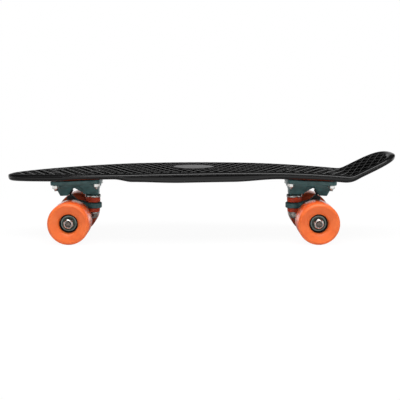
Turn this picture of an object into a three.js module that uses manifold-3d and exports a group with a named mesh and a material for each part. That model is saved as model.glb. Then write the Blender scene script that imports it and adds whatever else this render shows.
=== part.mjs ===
// Cruiser skateboard: a moulded deck with a kicktail on two trucks and four wheels.
// Millimetres, +Z up, +X toward the tail. The origin is under the middle of the board, on the floor.

import * as THREE from 'three';
import { mergeVertices } from 'three/addons/utils/BufferGeometryUtils.js';
import Module from 'manifold-3d';

const wasm = await Module();
wasm.setup();

// General clearances
const gap = 0.3;
const cutOverrun = 3;

// Deck, measured from the middle of the wheelbase
const wheelbase = 348.7;
const noseReach = 270.4;
const tailReach = 288.7;
const deckHalfWidth = 76.2;
const tailHalfWidth = 54.5;
const noseTaperLength = 183;
const noseBluntness = 1.9;
const noseSweep = 1.3;
const waistLength = 285;
const waistStart = -60;
const tailEndLength = 42;
const tailBluntness = 2.5;
const mountThickness = 13;
const crownX = 60;
const noseCamber = 9.5;
const tailCamber = 7.6;
const kickX = 221.6;
const kickBlend = 6;
const kickAngle = THREE.MathUtils.degToRad(26.5);
const kickFlattening = 3.7;
const kickFlatteningPower = 8;
const deckTopRadius = 3.6;
const deckBottomRadius = 2.4;
const bellyThickness = 13.9;
const bellyHeelThickness = 11.3;
const bellyHeelOffset = 79;
const bellyFullOffset = 159;
const noseThickness = 9.9;
const noseWellThickness = 7.5;
const noseThinningStart = -205;
const noseThinningEnd = -122;
const tailWellThickness = 10.2;
const kickThickness = 7.9;
const kickRamp = 10;
const spineThickness = 11.2;
const bellyNoseOffset = 76.5;
const bellyTailOffset = 84;
const bellyNoseRamp = 13;
const bellyTailRamp = 34;
const spineRamp = 14;
const spineInnerShare = 0.5;
const spineOuterShare = 0.72;
const deckBodySteps = 36;
const kickBendSteps = 3;
const kickSteps = 8;
const deckWidthSteps = 8;
const deckEndBow = 0.1;
const deckEndSharpness = 8;
const ovalLength = 58;
const ovalWidth = 46;
const ovalRise = 0.8;

// Grip: crossed ridges left standing between sunk diamonds
const gripPitchX = 25.24;
const gripPitchY = 58.5;
const gripRidgeWidth = 3;
const gripDepth = 1.35;
const gripMargin = 6.6;
const gripBossRadius = 7.4;
const gripPocketSteps = 4;
const gripEdgeSteps = 24;

// Wheels and the pieces on the axle, measured outward from the middle of the board
const wheelRadius = 29.5;
const wheelWidth = 45;
const wheelInnerFace = 28;
const wheelLipRadius = 4.5;
const tyreFaceDish = 8;
const tyreBackDish = 5;
const tyreBackMouth = 4;
const coreRadius = 12.5;
const coreWall = 1.2;
const coreFlangeHeight = 3.4;
const coreFlangeWidth = 14;
const coreFaceInset = 1.2;
const coreShoulderHeight = 2.2;
const bearingRadius = 11;
const bearingBoreRadius = 5.9;
const bearingWidth = 7;
const bearingShieldInset = 0.6;
const bearingRaceWall = 1.7;
const bearingSpacing = 10;
const sleeveRadius = 5.6;
const axleRadius = 4;
const speedWasherRadius = 5.6;
const speedWasherThickness = 1;
const axleNutFlats = 12.7;
const axleNutHeight = 6;
const axleNutCollar = 1.6;
const axleProud = 0.9;

// Truck, measured from its axle: x runs inboard, z runs up, square to the base
const truckTilt = THREE.MathUtils.degToRad(2.6);
const truckHeight = 55;
const baseLength = 71.2;
const baseHalfWidth = 27.5;
const baseOutboardReach = 28.9;
const baseThickness = 5.5;
const baseCornerRadius = 6.5;
const baseBlockTopHalfWidth = 14.2;
const baseBlockFootHalfWidth = 9.6;
const baseBlockInboardReach = 42.2;
const baseFootInboardReach = 37.4;
const baseFootArchEdge = 15.6;
const lugReach = 22.4;
const lugShoulderZ = 43;
const lugFootReach = 18;
const lugFootZ = 31.8;
const archDepth = 4.3;
const archShoulder = 4;
const baseWebHalfWidth = 4;
const baseWebClearance = 8;
const padInset = 0.6;
const padDepth = 5;
const boltSpacingX = 58.6;
const boltSpacingY = 41.2;
const boltCentreX = 7.5;
const boltRadius = 2.4;
const boltHeadRadius = 4.7;
const boltHeadHeight = 2.7;
const boltSocketRadius = 1.6;
const boltSocketDepth = 1.8;
const boltNutFlats = 8.6;
const boltNutHeight = 4.8;
const boltProud = 3.4;
const kingpinX = 28.8;
const kingpinFootZ = 32.3;
const kingpinLean = THREE.MathUtils.degToRad(4.5);
const kingpinRadius = 4.76;
const kingpinHeadFlats = 14.3;
const kingpinHeadHeight = 6.5;
const kingpinProud = 1.2;
const kingpinBossRadius = 8.6;
const pivotX = -10.6;
const pivotZ = 40.9;
const pivotNoseRadius = 4.5;
const pivotNoseLength = 10.5;
const pivotCupWall = 2;
const pivotCupDepth = 9.4;
const cupWasherRadius = 11.55;
const cupWasherThickness = 1.8;
const cupWasherHeight = 4.2;
const cupWasherLip = 1.5;
const roadWasherRadius = 9.4;
const roadWasherThickness = 2;
const bushingRadius = 10.9;
const bushingEndRadius = 9.5;
const bushingBarrelHeight = 7.2;
const roadBushingRadius = 10.5;
const roadBushingFootRadius = 9.9;
const roadBushingHeight = 5.6;
const ringRadius = 13.1;
const ringHeight = 8.4;
const ringChamfer = 1.4;
const ringSeatDepth = 2.2;
const ringHoleRadius = 6.4;
const kingpinNutFlats = 14.3;
const kingpinNutHeight = 6.4;
const hangerHalfWidth = 36.5;
const hangerTubeRadius = 9.5;
const hangerTubeEndRadius = 7.8;
const hangerHubHalfLength = 15;
const hangerWebHalfWidth = 9;
const hangerStemHalfWidth = 5.4;
const stemReach = 9.4;
const stemShoulderZ = 29.6;
const stemNeckZ = 30.5;
const hangerWingHalfHeight = 4.6;

// Facet counts
const wheelFacets = 28;
const coreFacets = 16;
const smallFacets = 14;
const boltFacets = 8;
const hexSides = 6;

// Colours and finishes
const deckPlastic = { color: 0x101011, roughness: 0.32, metalness: 0 };
const truckPaint = { color: 0x3a5353, roughness: 0.5, metalness: 0.15 };
const urethane = { color: 0xf07038, roughness: 0.38, metalness: 0 };
const bushingRubber = { color: 0xa83a1c, roughness: 0.5, metalness: 0 };
const coreNylon = { color: 0x121212, roughness: 0.45, metalness: 0 };
const zinc = { color: 0xc9cbca, roughness: 0.28, metalness: 1 };
const shieldSteel = { color: 0x7f8f89, roughness: 0.35, metalness: 0.9 };
const cupPlastic = { color: 0x1a1a1a, roughness: 0.6, metalness: 0 };

// Small helpers

function signedVolume(positions, index) {
  const a = new THREE.Vector3();
  const b = new THREE.Vector3();
  const c = new THREE.Vector3();
  let sum = 0;
  for (let i = 0; i < index.count; i += 3) {
    a.fromBufferAttribute(positions, index.getX(i));
    b.fromBufferAttribute(positions, index.getX(i + 1));
    c.fromBufferAttribute(positions, index.getX(i + 2));
    sum += a.dot(b.cross(c));
  }
  return sum;
}

// A closed mesh with shared corners, its faces pointing out
function closed(geometry) {
  const bare = geometry.clone();
  bare.deleteAttribute('normal');
  bare.deleteAttribute('uv');
  const merged = mergeVertices(bare);
  const index = merged.getIndex();
  const keep = [];
  const inward = signedVolume(merged.attributes.position, index) < 0;
  for (let i = 0; i < index.count; i += 3) {
    const [a, b, c] = [index.getX(i), index.getX(i + 1), index.getX(i + 2)];
    if (a === b || b === c || c === a) continue;
    keep.push(...(inward ? [a, c, b] : [a, b, c]));
  }
  merged.setIndex(keep);
  return merged;
}

function solid(geometry) {
  const merged = closed(geometry);
  return new wasm.Manifold(new wasm.Mesh({
    numProp: 3,
    vertProperties: Float32Array.from(merged.attributes.position.array),
    triVerts: Uint32Array.from(merged.getIndex().array),
  }));
}

function geometryOf(manifold) {
  const mesh = manifold.getMesh();
  const geometry = new THREE.BufferGeometry();
  geometry.setAttribute('position', new THREE.BufferAttribute(new Float32Array(mesh.vertProperties), 3));
  geometry.setIndex(new THREE.BufferAttribute(new Uint32Array(mesh.triVerts), 1));
  const faceted = geometry.toNonIndexed();
  faceted.computeVertexNormals();
  return faceted;
}

// A turned piece about the Z axis, from a closed outline of [radius, height] points
function turned(outline, facets) {
  const points = outline.map(([radius, height]) => new THREE.Vector2(radius, height));
  points.push(points[0].clone());
  return closed(new THREE.LatheGeometry(points, facets)).rotateX(Math.PI / 2);
}

// A turned piece whose outline starts and ends on its axis
function turnedSolid(outline, facets) {
  const points = outline.map(([radius, height]) => new THREE.Vector2(radius, height));
  return closed(new THREE.LatheGeometry(points, facets)).rotateX(Math.PI / 2);
}

function rod(radius, bottom, top, facets) {
  return turnedSolid([[0, bottom], [radius, bottom], [radius, top], [0, top]], facets);
}

// A hexagonal prism with its size given across the flats
function hexagon(flats, bottom, top) {
  return rod(flats / 2 / Math.cos(Math.PI / hexSides), bottom, top, hexSides);
}

// A flat outline in X and Z, thickened both ways along Y
function sidePlate(points, halfWidth) {
  const shape = new THREE.Shape(points.map(([x, z]) => new THREE.Vector2(x, z)));
  const plate = new THREE.ExtrudeGeometry(shape, { depth: 2 * halfWidth, bevelEnabled: false });
  return plate.translate(0, 0, -halfWidth).rotateX(Math.PI / 2);
}

function planPlate(points, bottom, top) {
  const shape = new THREE.Shape(points.map(([x, y]) => new THREE.Vector2(x, y)));
  return new THREE.ExtrudeGeometry(shape, { depth: top - bottom, bevelEnabled: false }).translate(0, 0, bottom);
}

function roundedPlan(left, right, halfWidth, radius, bottom, top) {
  const shape = new THREE.Shape();
  shape.moveTo(left + radius, -halfWidth);
  shape.lineTo(right - radius, -halfWidth);
  shape.absarc(right - radius, radius - halfWidth, radius, -Math.PI / 2, 0);
  shape.lineTo(right, halfWidth - radius);
  shape.absarc(right - radius, halfWidth - radius, radius, 0, Math.PI / 2);
  shape.lineTo(left + radius, halfWidth);
  shape.absarc(left + radius, halfWidth - radius, radius, Math.PI / 2, Math.PI);
  shape.lineTo(left, radius - halfWidth);
  shape.absarc(left + radius, radius - halfWidth, radius, Math.PI, 3 * Math.PI / 2);
  const options = { depth: top - bottom, bevelEnabled: false, curveSegments: 4 };
  return new THREE.ExtrudeGeometry(shape, options).translate(0, 0, bottom);
}

function smoothShare(from, to, value) {
  return THREE.MathUtils.smoothstep(value, from, to);
}

function named(name, geometry, finish) {
  const mesh = new THREE.Mesh(geometry, new THREE.MeshStandardMaterial(finish));
  mesh.name = name;
  return mesh;
}

// Deck outline and heights, with x from the middle of the wheelbase

const halfWheelbase = wheelbase / 2;
const deckHalfLength = (noseReach + tailReach) / 2;
const deckMiddle = (tailReach - noseReach) / 2;

function halfWidthAt(x) {
  const waist = THREE.MathUtils.clamp((x - waistStart) / waistLength, 0, 1);
  const body = THREE.MathUtils.lerp(deckHalfWidth, tailHalfWidth, (1 - Math.cos(Math.PI * waist)) / 2);
  const intoNose = THREE.MathUtils.clamp((noseTaperLength - noseReach - x) / noseTaperLength, 0, 1);
  const intoTail = THREE.MathUtils.clamp((x - tailReach + tailEndLength) / tailEndLength, 0, 1);
  const nose = (1 - intoNose ** noseSweep) ** (1 / noseBluntness);
  const tail = (1 - intoTail ** tailBluntness) ** (1 / tailBluntness);
  return body * nose * tail;
}

function camberDrop(x) {
  if (x < crownX) return noseCamber * ((crownX - x) / (crownX + noseReach)) ** 2;
  return tailCamber * ((x - crownX) / (kickX - crownX)) ** 2;
}

const kickFoot = kickX - kickBlend;
const kickStart = kickX + kickBlend;
const kickLength = tailReach - kickFoot;
const kickFootSlope = -2 * tailCamber * (kickFoot - crownX) / (kickX - crownX) ** 2;
const kickTurn = Math.tan(kickAngle) - kickFootSlope;
const crownHeight = wheelRadius + truckHeight + mountThickness + camberDrop(-halfWheelbase);

function topHeight(x) {
  if (x < kickFoot) return crownHeight - camberDrop(x);
  const run = x - kickFoot;
  const curve = run < 2 * kickBlend ? run * run / (4 * kickBlend) : run - kickBlend;
  const flattening = kickFlattening * (run / kickLength) ** kickFlatteningPower;
  return crownHeight - camberDrop(kickFoot) + kickFootSlope * run + kickTurn * curve - flattening;
}

function topSlope(x) {
  if (x < crownX) return 2 * noseCamber * (crownX - x) / (crownX + noseReach) ** 2;
  if (x < kickFoot) return -2 * tailCamber * (x - crownX) / (kickX - crownX) ** 2;
  const run = x - kickFoot;
  const turned = kickTurn * Math.min(run / (2 * kickBlend), 1);
  const flattened = (run / kickLength) ** (kickFlatteningPower - 1) / kickLength;
  return kickFootSlope + turned - kickFlatteningPower * kickFlattening * flattened;
}

// The rim is deep between the trucks and thin over the wheels
function rimThickness(x) {
  const start = bellyNoseOffset - halfWheelbase;
  const end = halfWheelbase - bellyTailOffset;
  const rising = smoothShare(start - bellyNoseRamp, start + bellyNoseRamp, x);
  const falling = smoothShare(end - bellyTailRamp, end + bellyTailRamp, x);
  const noseWell = THREE.MathUtils.lerp(noseThickness, noseWellThickness, smoothShare(noseThinningStart, noseThinningEnd, x));
  const flatWell = THREE.MathUtils.lerp(noseWell, tailWellThickness, smoothShare(start, end, x));
  const well = THREE.MathUtils.lerp(flatWell, kickThickness, smoothShare(kickX - kickRamp, kickX + kickRamp, x));
  const filling = smoothShare(bellyHeelOffset - halfWheelbase, bellyFullOffset - halfWheelbase, x);
  const belly = THREE.MathUtils.lerp(bellyHeelThickness, bellyThickness, filling);
  return THREE.MathUtils.lerp(well, belly, rising * (1 - falling));
}

// Under the middle, a thick spine carries the trucks
function thicknessAt(x, sideShare) {
  const rim = rimThickness(x);
  const reach = halfWheelbase + baseOutboardReach;
  const along = 1 - smoothShare(reach, reach + 2 * spineRamp, Math.abs(x));
  const across = 1 - smoothShare(spineInnerShare, spineOuterShare, sideShare);
  return THREE.MathUtils.lerp(rim, Math.max(rim, spineThickness), along * across);
}

// Where each step along the deck falls, close together round the bend of the kicktail
function stepX(step) {
  if (step <= deckBodySteps) return THREE.MathUtils.lerp(-noseReach, kickFoot, step / deckBodySteps);
  const bend = step - deckBodySteps;
  if (bend <= kickBendSteps) return THREE.MathUtils.lerp(kickFoot, kickStart, bend / kickBendSteps);
  return THREE.MathUtils.lerp(kickStart, tailReach, (bend - kickBendSteps) / kickSteps);
}

function deckBlank() {
  const levels = [
    { inset: deckBottomRadius, depth: (full) => full },
    { inset: 0, depth: (full) => full - deckBottomRadius },
    { inset: 0, depth: () => deckTopRadius },
    { inset: deckTopRadius * (1 - Math.SQRT1_2), depth: () => deckTopRadius * (1 - Math.SQRT1_2) },
    { inset: deckTopRadius, depth: () => 0 },
  ];
  const rows = levels.length - 1;
  const steps = deckBodySteps + kickBendSteps + kickSteps;
  const box = new THREE.BoxGeometry(steps, 2, rows, steps, deckWidthSteps, rows);
  const position = box.attributes.position;
  for (let i = 0; i < position.count; i += 1) {
    const q = position.getY(i);
    const p = (stepX(Math.round(position.getX(i) + steps / 2)) - deckMiddle) / deckHalfLength;
    const level = levels[Math.round(position.getZ(i) + rows / 2)];
    const endShare = Math.abs(p) ** deckEndSharpness;
    const along = p * (1 - deckEndBow * endShare * q * q);
    const side = Math.sqrt(q * q + (1 - q * q) * (1 - endShare));
    const sideShare = side > Number.EPSILON ? q / side : 0;
    const x = deckMiddle + along * deckHalfLength;
    const inset = 1 - level.inset / deckHalfWidth;
    const depth = level.depth(thicknessAt(x, Math.abs(sideShare)));
    const drawnX = deckMiddle + along * (deckHalfLength - level.inset);
    const lean = Math.atan(topSlope(drawnX));
    position.setXYZ(
      i,
      drawnX + depth * Math.sin(lean),
      halfWidthAt(x) * sideShare * inset,
      topHeight(drawnX) - depth * Math.cos(lean),
    );
  }
  return box;
}

// Truck frame helpers: a group stands at each axle, its x running to the middle of the board

const ends = [
  { name: 'nose', x: -halfWheelbase, turn: 0 },
  { name: 'tail', x: halfWheelbase, turn: Math.PI },
];

function truckMatrix(end) {
  const place = new THREE.Matrix4().makeTranslation(end.x, 0, wheelRadius);
  place.multiply(new THREE.Matrix4().makeRotationZ(end.turn));
  return place.multiply(new THREE.Matrix4().makeRotationY(-truckTilt));
}

// Height of the deck's top above the truck's x, along the truck's own z
function deckTopInTruck(end, x) {
  const matrix = truckMatrix(end);
  let height = truckHeight + mountThickness;
  for (let pass = 0; pass < 4; pass += 1) {
    const point = new THREE.Vector3(x, 0, height).applyMatrix4(matrix);
    height += topHeight(point.x) - point.z;
  }
  return height;
}

const boltPlaces = [];
for (const along of [-1, 1]) {
  for (const across of [-1, 1]) {
    boltPlaces.push({
      name: `${along < 0 ? 'outboard' : 'inboard'}_${across < 0 ? 'left' : 'right'}`,
      x: boltCentreX + along * boltSpacingX / 2,
      y: across * boltSpacingY / 2,
    });
  }
}

function boltCutter(end, place) {
  const top = deckTopInTruck(end, place.x);
  const headFoot = top - boltHeadHeight;
  return turnedSolid([
    [0, truckHeight - cutOverrun],
    [boltRadius + gap, truckHeight - cutOverrun],
    [boltRadius + gap, headFoot],
    [boltHeadRadius + gap, top],
    [boltHeadRadius + gap, top + cutOverrun],
    [0, top + cutOverrun],
  ], boltFacets).translate(place.x, place.y, 0);
}

// A smooth flat-topped oval left bare in the middle of the deck's grip
function ovalPad() {
  const top = topHeight(0) + ovalRise;
  return rod(1, top - padDepth, top, wheelFacets).scale(ovalLength / 2, ovalWidth / 2, 1);
}

// The part of the deck's top that carries the grip, as a tall prism
function gripField() {
  const side = [];
  for (let step = 1; step < gripEdgeSteps; step += 1) {
    const along = -Math.cos(Math.PI * step / gripEdgeSteps);
    const halfWidth = halfWidthAt(deckMiddle + along * deckHalfLength) * (1 - gripMargin / deckHalfWidth);
    side.push([deckMiddle + along * (deckHalfLength - gripMargin), halfWidth]);
  }
  const far = side.map(([x, y]) => [x, -y]).reverse();
  return planPlate([
    [gripMargin - noseReach, 0],
    ...side,
    [tailReach - gripMargin, 0],
    ...far,
  ], truckHeight, crownHeight + truckHeight);
}

// One sunk diamond, whose floor follows the top of the deck
function gripPocket(centreX, centreY) {
  const edge = gripPitchX * gripPitchY / (2 * Math.hypot(gripPitchX, gripPitchY));
  const share = (1 - gripRidgeWidth / 2 / edge) / 2;
  const box = new THREE.BoxGeometry(gripPocketSteps, 2, 1, gripPocketSteps, 1, 1);
  const position = box.attributes.position;
  for (let i = 0; i < position.count; i += 1) {
    const along = 2 * position.getX(i) / gripPocketSteps;
    const x = centreX + along * gripPitchX * share;
    const y = centreY + position.getY(i) * (1 - Math.abs(along)) * gripPitchY * share;
    const floor = -gripDepth * Math.hypot(1, topSlope(x));
    position.setXYZ(i, x, y, topHeight(x) + (position.getZ(i) < 0 ? floor : cutOverrun));
  }
  return box;
}

function gripPockets() {
  const reach = Math.ceil(tailReach / gripPitchX) * 2;
  let pockets = null;
  for (let first = -reach; first < reach; first += 1) {
    for (let second = -reach; second < reach; second += 1) {
      const x = gripPitchX * (first + second + 1) / 2;
      const y = gripPitchY * (first - second) / 2;
      const inside = x > gripMargin - noseReach && x < tailReach - gripMargin
        && Math.abs(y) < halfWidthAt(x) - gripMargin;
      if (!inside) continue;
      const pocket = solid(gripPocket(x, y));
      pockets = pockets ? pockets.add(pocket) : pocket;
    }
  }
  pockets = pockets.intersect(solid(gripField()));
  for (const end of ends) {
    for (const place of boltPlaces) {
      const boss = rod(gripBossRadius, truckHeight, 2 * truckHeight, boltFacets).translate(place.x, place.y, 0);
      pockets = pockets.subtract(solid(boss.applyMatrix4(truckMatrix(end))));
    }
  }
  return pockets;
}

function deck() {
  let body = solid(deckBlank()).subtract(gripPockets()).add(solid(ovalPad()));
  for (const end of ends) {
    const pad = roundedPlan(
      padInset - baseOutboardReach,
      baseLength - baseOutboardReach - padInset,
      baseHalfWidth - padInset,
      baseCornerRadius - padInset,
      truckHeight + gap,
      truckHeight + gap + padDepth,
    );
    body = body.add(solid(pad.applyMatrix4(truckMatrix(end))));
    for (const place of boltPlaces) {
      body = body.subtract(solid(boltCutter(end, place).applyMatrix4(truckMatrix(end))));
    }
  }
  return geometryOf(body);
}

// Deck bolt with its nut screwed on below the base
function deckBolt(end, place) {
  const top = deckTopInTruck(end, place.x) - gap;
  const nutTop = truckHeight - baseThickness - gap;
  const nutFoot = nutTop - boltNutHeight;
  const foot = nutFoot - boltProud;
  const shank = solid(turnedSolid([
    [0, foot],
    [boltRadius, foot],
    [boltRadius, top - boltHeadHeight],
    [boltHeadRadius, top],
    [boltSocketRadius, top],
    [boltSocketRadius, top - boltSocketDepth],
    [0, top - boltSocketDepth],
  ], boltFacets));
  const nut = solid(hexagon(boltNutFlats, nutFoot, nutTop));
  return geometryOf(shank.add(nut)).translate(place.x, place.y, 0);
}

// Kingpin stack: lengths along the kingpin, down from the foot of the base

const cupWasherTop = gap;
const cupWasherFoot = cupWasherTop + cupWasherHeight;
const ringTop = cupWasherFoot + bushingBarrelHeight + gap;
const ringFoot = ringTop + ringHeight;
const roadBushingFoot = ringFoot + gap + roadBushingHeight;
const roadWasherTop = roadBushingFoot + gap;
const roadWasherFoot = roadWasherTop + roadWasherThickness;
const kingpinNutTop = roadWasherFoot + gap;
const kingpinNutFoot = kingpinNutTop + kingpinNutHeight;
const ringMiddle = (ringTop + ringFoot) / 2;

// Moves a piece made along Z, with zero at the base's foot, onto the kingpin
function ontoKingpin(geometry) {
  return geometry.rotateY(kingpinLean).translate(kingpinX, 0, kingpinFootZ);
}

const ringCentreX = kingpinX - ringMiddle * Math.sin(kingpinLean);
const ringCentreZ = kingpinFootZ - ringMiddle * Math.cos(kingpinLean);
const steerAngle = Math.atan2(pivotZ - ringCentreZ, ringCentreX - pivotX);

// Moves a piece made along Z, with zero at the pivot's tip, onto the steering axis
function ontoPivot(geometry) {
  return geometry.rotateY(steerAngle - Math.PI / 2).translate(pivotX, 0, pivotZ);
}

function cupWasher() {
  return ontoKingpin(turned([
    [kingpinRadius + gap, -cupWasherTop],
    [cupWasherRadius - cupWasherLip, -cupWasherTop],
    [cupWasherRadius, -cupWasherTop - cupWasherThickness],
    [cupWasherRadius, -cupWasherFoot],
    [cupWasherRadius - cupWasherLip, -cupWasherFoot],
    [cupWasherRadius - cupWasherLip, -cupWasherTop - cupWasherThickness],
    [kingpinRadius + gap, -cupWasherTop - cupWasherThickness],
  ], smallFacets));
}

function boardBushing() {
  const top = cupWasherTop + cupWasherThickness + gap;
  return ontoKingpin(turned([
    [kingpinRadius + gap, -top],
    [bushingEndRadius, -top],
    [bushingEndRadius, -cupWasherFoot - gap],
    [bushingRadius, -cupWasherFoot - gap],
    [bushingRadius, -ringTop + gap],
    [bushingEndRadius, -ringTop + gap],
    [bushingEndRadius, -ringTop - ringSeatDepth + gap],
    [kingpinRadius + gap, -ringTop - ringSeatDepth + gap],
  ], smallFacets));
}

function roadBushing() {
  return ontoKingpin(turned([
    [kingpinRadius + gap, -ringFoot + ringSeatDepth - gap],
    [bushingEndRadius, -ringFoot + ringSeatDepth - gap],
    [bushingEndRadius, -ringFoot - gap],
    [roadBushingRadius, -ringFoot - gap],
    [roadBushingFootRadius, -roadBushingFoot],
    [kingpinRadius + gap, -roadBushingFoot],
  ], smallFacets));
}

function roadWasher() {
  return ontoKingpin(turned([
    [kingpinRadius + gap, -roadWasherTop],
    [roadWasherRadius, -roadWasherTop],
    [roadWasherRadius, -roadWasherFoot],
    [kingpinRadius + gap, -roadWasherFoot],
  ], smallFacets));
}

function kingpinNut() {
  const nut = solid(hexagon(kingpinNutFlats, -kingpinNutFoot, -kingpinNutTop));
  const bore = solid(rod(kingpinRadius + gap, -kingpinNutFoot - cutOverrun, cutOverrun, smallFacets));
  return ontoKingpin(geometryOf(nut.subtract(bore)));
}

// Where the kingpin's hexagonal head ends, just under the top of the base
const kingpinHeadTop = (truckHeight - kingpinFootZ) / Math.cos(kingpinLean)
  - kingpinHeadFlats * Math.tan(kingpinLean) - gap;

function kingpin() {
  const headFoot = kingpinHeadTop - kingpinHeadHeight;
  const head = solid(hexagon(kingpinHeadFlats, headFoot, kingpinHeadTop));
  const shank = solid(rod(kingpinRadius, -kingpinNutFoot - kingpinProud, kingpinHeadTop - gap, smallFacets));
  return ontoKingpin(geometryOf(head.add(shank)));
}

// Height of the steering axis above the truck's x, as it runs from the pivot down to the ring
function steerHeight(x) {
  return pivotZ - (x - pivotX) * Math.tan(steerAngle);
}

// Cast base: a bored plate over a block that holds the pivot cup and the kingpin, arched between them
function baseplate() {
  const plateFoot = truckHeight - baseThickness;
  const inboardReach = baseLength - baseOutboardReach;
  const bossLeft = baseFootArchEdge;
  const bossRight = baseFootInboardReach;
  const bossFoot = kingpinFootZ - 2 * cupWasherRadius * Math.sin(kingpinLean);
  const bossShoulder = kingpinFootZ + baseThickness;
  const archTop = plateFoot - archDepth;
  const archLeft = pivotX + pivotCupDepth;
  const outline = [
    [-lugReach, truckHeight - gap],
    [-lugReach, lugShoulderZ],
    [-lugFootReach, lugFootZ],
    [pivotX + pivotNoseRadius - gap, lugFootZ],
    [archLeft, pivotZ - pivotNoseRadius / 4],
    [archLeft + archShoulder, archTop],
    [bossLeft - archShoulder, archTop],
    [bossLeft, bossShoulder],
    [bossLeft, bossFoot],
    [bossRight, bossFoot],
    [bossRight, bossShoulder],
    [baseBlockInboardReach, plateFoot],
    [baseBlockInboardReach, truckHeight - gap],
  ];
  const webRise = baseWebClearance / Math.cos(steerAngle);
  const washerEdge = kingpinX - cupWasherRadius - 2 * gap;
  const washerClear = kingpinFootZ + cupWasherRadius * Math.sin(kingpinLean) + 2 * gap;
  const web = [
    [archLeft - gap, plateFoot + gap],
    [archLeft - gap, pivotZ],
    [archLeft + archShoulder, steerHeight(archLeft + archShoulder) + webRise],
    [washerEdge, steerHeight(washerEdge) + webRise],
    [washerEdge, washerClear],
    [bossLeft + gap, washerClear],
    [bossLeft + gap, plateFoot + gap],
  ];
  const draft = [
    [-baseBlockTopHalfWidth, truckHeight],
    [-baseBlockTopHalfWidth, archTop],
    [-baseBlockFootHalfWidth, lugFootZ],
    [-baseBlockFootHalfWidth, 0],
    [baseBlockFootHalfWidth, 0],
    [baseBlockFootHalfWidth, lugFootZ],
    [baseBlockTopHalfWidth, archTop],
    [baseBlockTopHalfWidth, truckHeight],
  ];
  const plate = roundedPlan(
    -baseOutboardReach,
    inboardReach,
    baseHalfWidth,
    baseCornerRadius,
    plateFoot,
    truckHeight,
  );
  const underFoot = rod(2 * cupWasherRadius, -truckHeight, 0, smallFacets);
  const bossTop = kingpinHeadTop - kingpinHeadHeight - gap;
  const boss = rod(kingpinBossRadius, 0, bossTop, smallFacets);
  const cupBore = rod(
    pivotNoseRadius + gap + pivotCupWall + gap,
    -pivotCupDepth - 2 * cutOverrun,
    pivotCupWall + gap,
    smallFacets,
  );
  const pinBore = rod(kingpinRadius + gap, -cutOverrun, truckHeight, smallFacets);
  const headPocket = hexagon(
    kingpinHeadFlats + 2 * gap,
    kingpinHeadTop - kingpinHeadHeight - gap,
    kingpinHeadTop + 2 * cutOverrun,
  );
  const pivotSide = planPlate([
    [-baseLength, -baseLength],
    [bossLeft - gap, -baseLength],
    [bossLeft - gap, baseLength],
    [-baseLength, baseLength],
  ], 0, truckHeight);
  let body = solid(sidePlate(outline, baseHalfWidth));
  body = body.intersect(solid(sidePlate(draft, baseLength).rotateZ(Math.PI / 2)));
  body = body.subtract(solid(ontoKingpin(underFoot)).subtract(solid(pivotSide)));
  body = body.add(solid(ontoKingpin(boss)));
  body = body.add(solid(sidePlate(web, baseWebHalfWidth)));
  body = body.add(solid(plate));
  body = body.subtract(solid(ontoPivot(cupBore)));
  body = body.subtract(solid(ontoKingpin(pinBore)));
  body = body.subtract(solid(ontoKingpin(headPocket)));
  for (const place of boltPlaces) {
    const hole = rod(boltRadius + gap, plateFoot - cutOverrun, truckHeight + cutOverrun, boltFacets);
    body = body.subtract(solid(hole.translate(place.x, place.y, 0)));
  }
  return geometryOf(body);
}

// Lined socket for the hanger's pivot nose
function pivotCup() {
  const outer = pivotNoseRadius + gap + pivotCupWall;
  return ontoPivot(turnedSolid([
    [0, pivotCupWall],
    [outer, pivotCupWall],
    [outer, -pivotCupDepth + pivotCupWall],
    [pivotNoseRadius + gap, -pivotCupDepth + pivotCupWall],
    [pivotNoseRadius + gap, gap],
    [0, gap],
  ], smallFacets));
}

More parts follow.
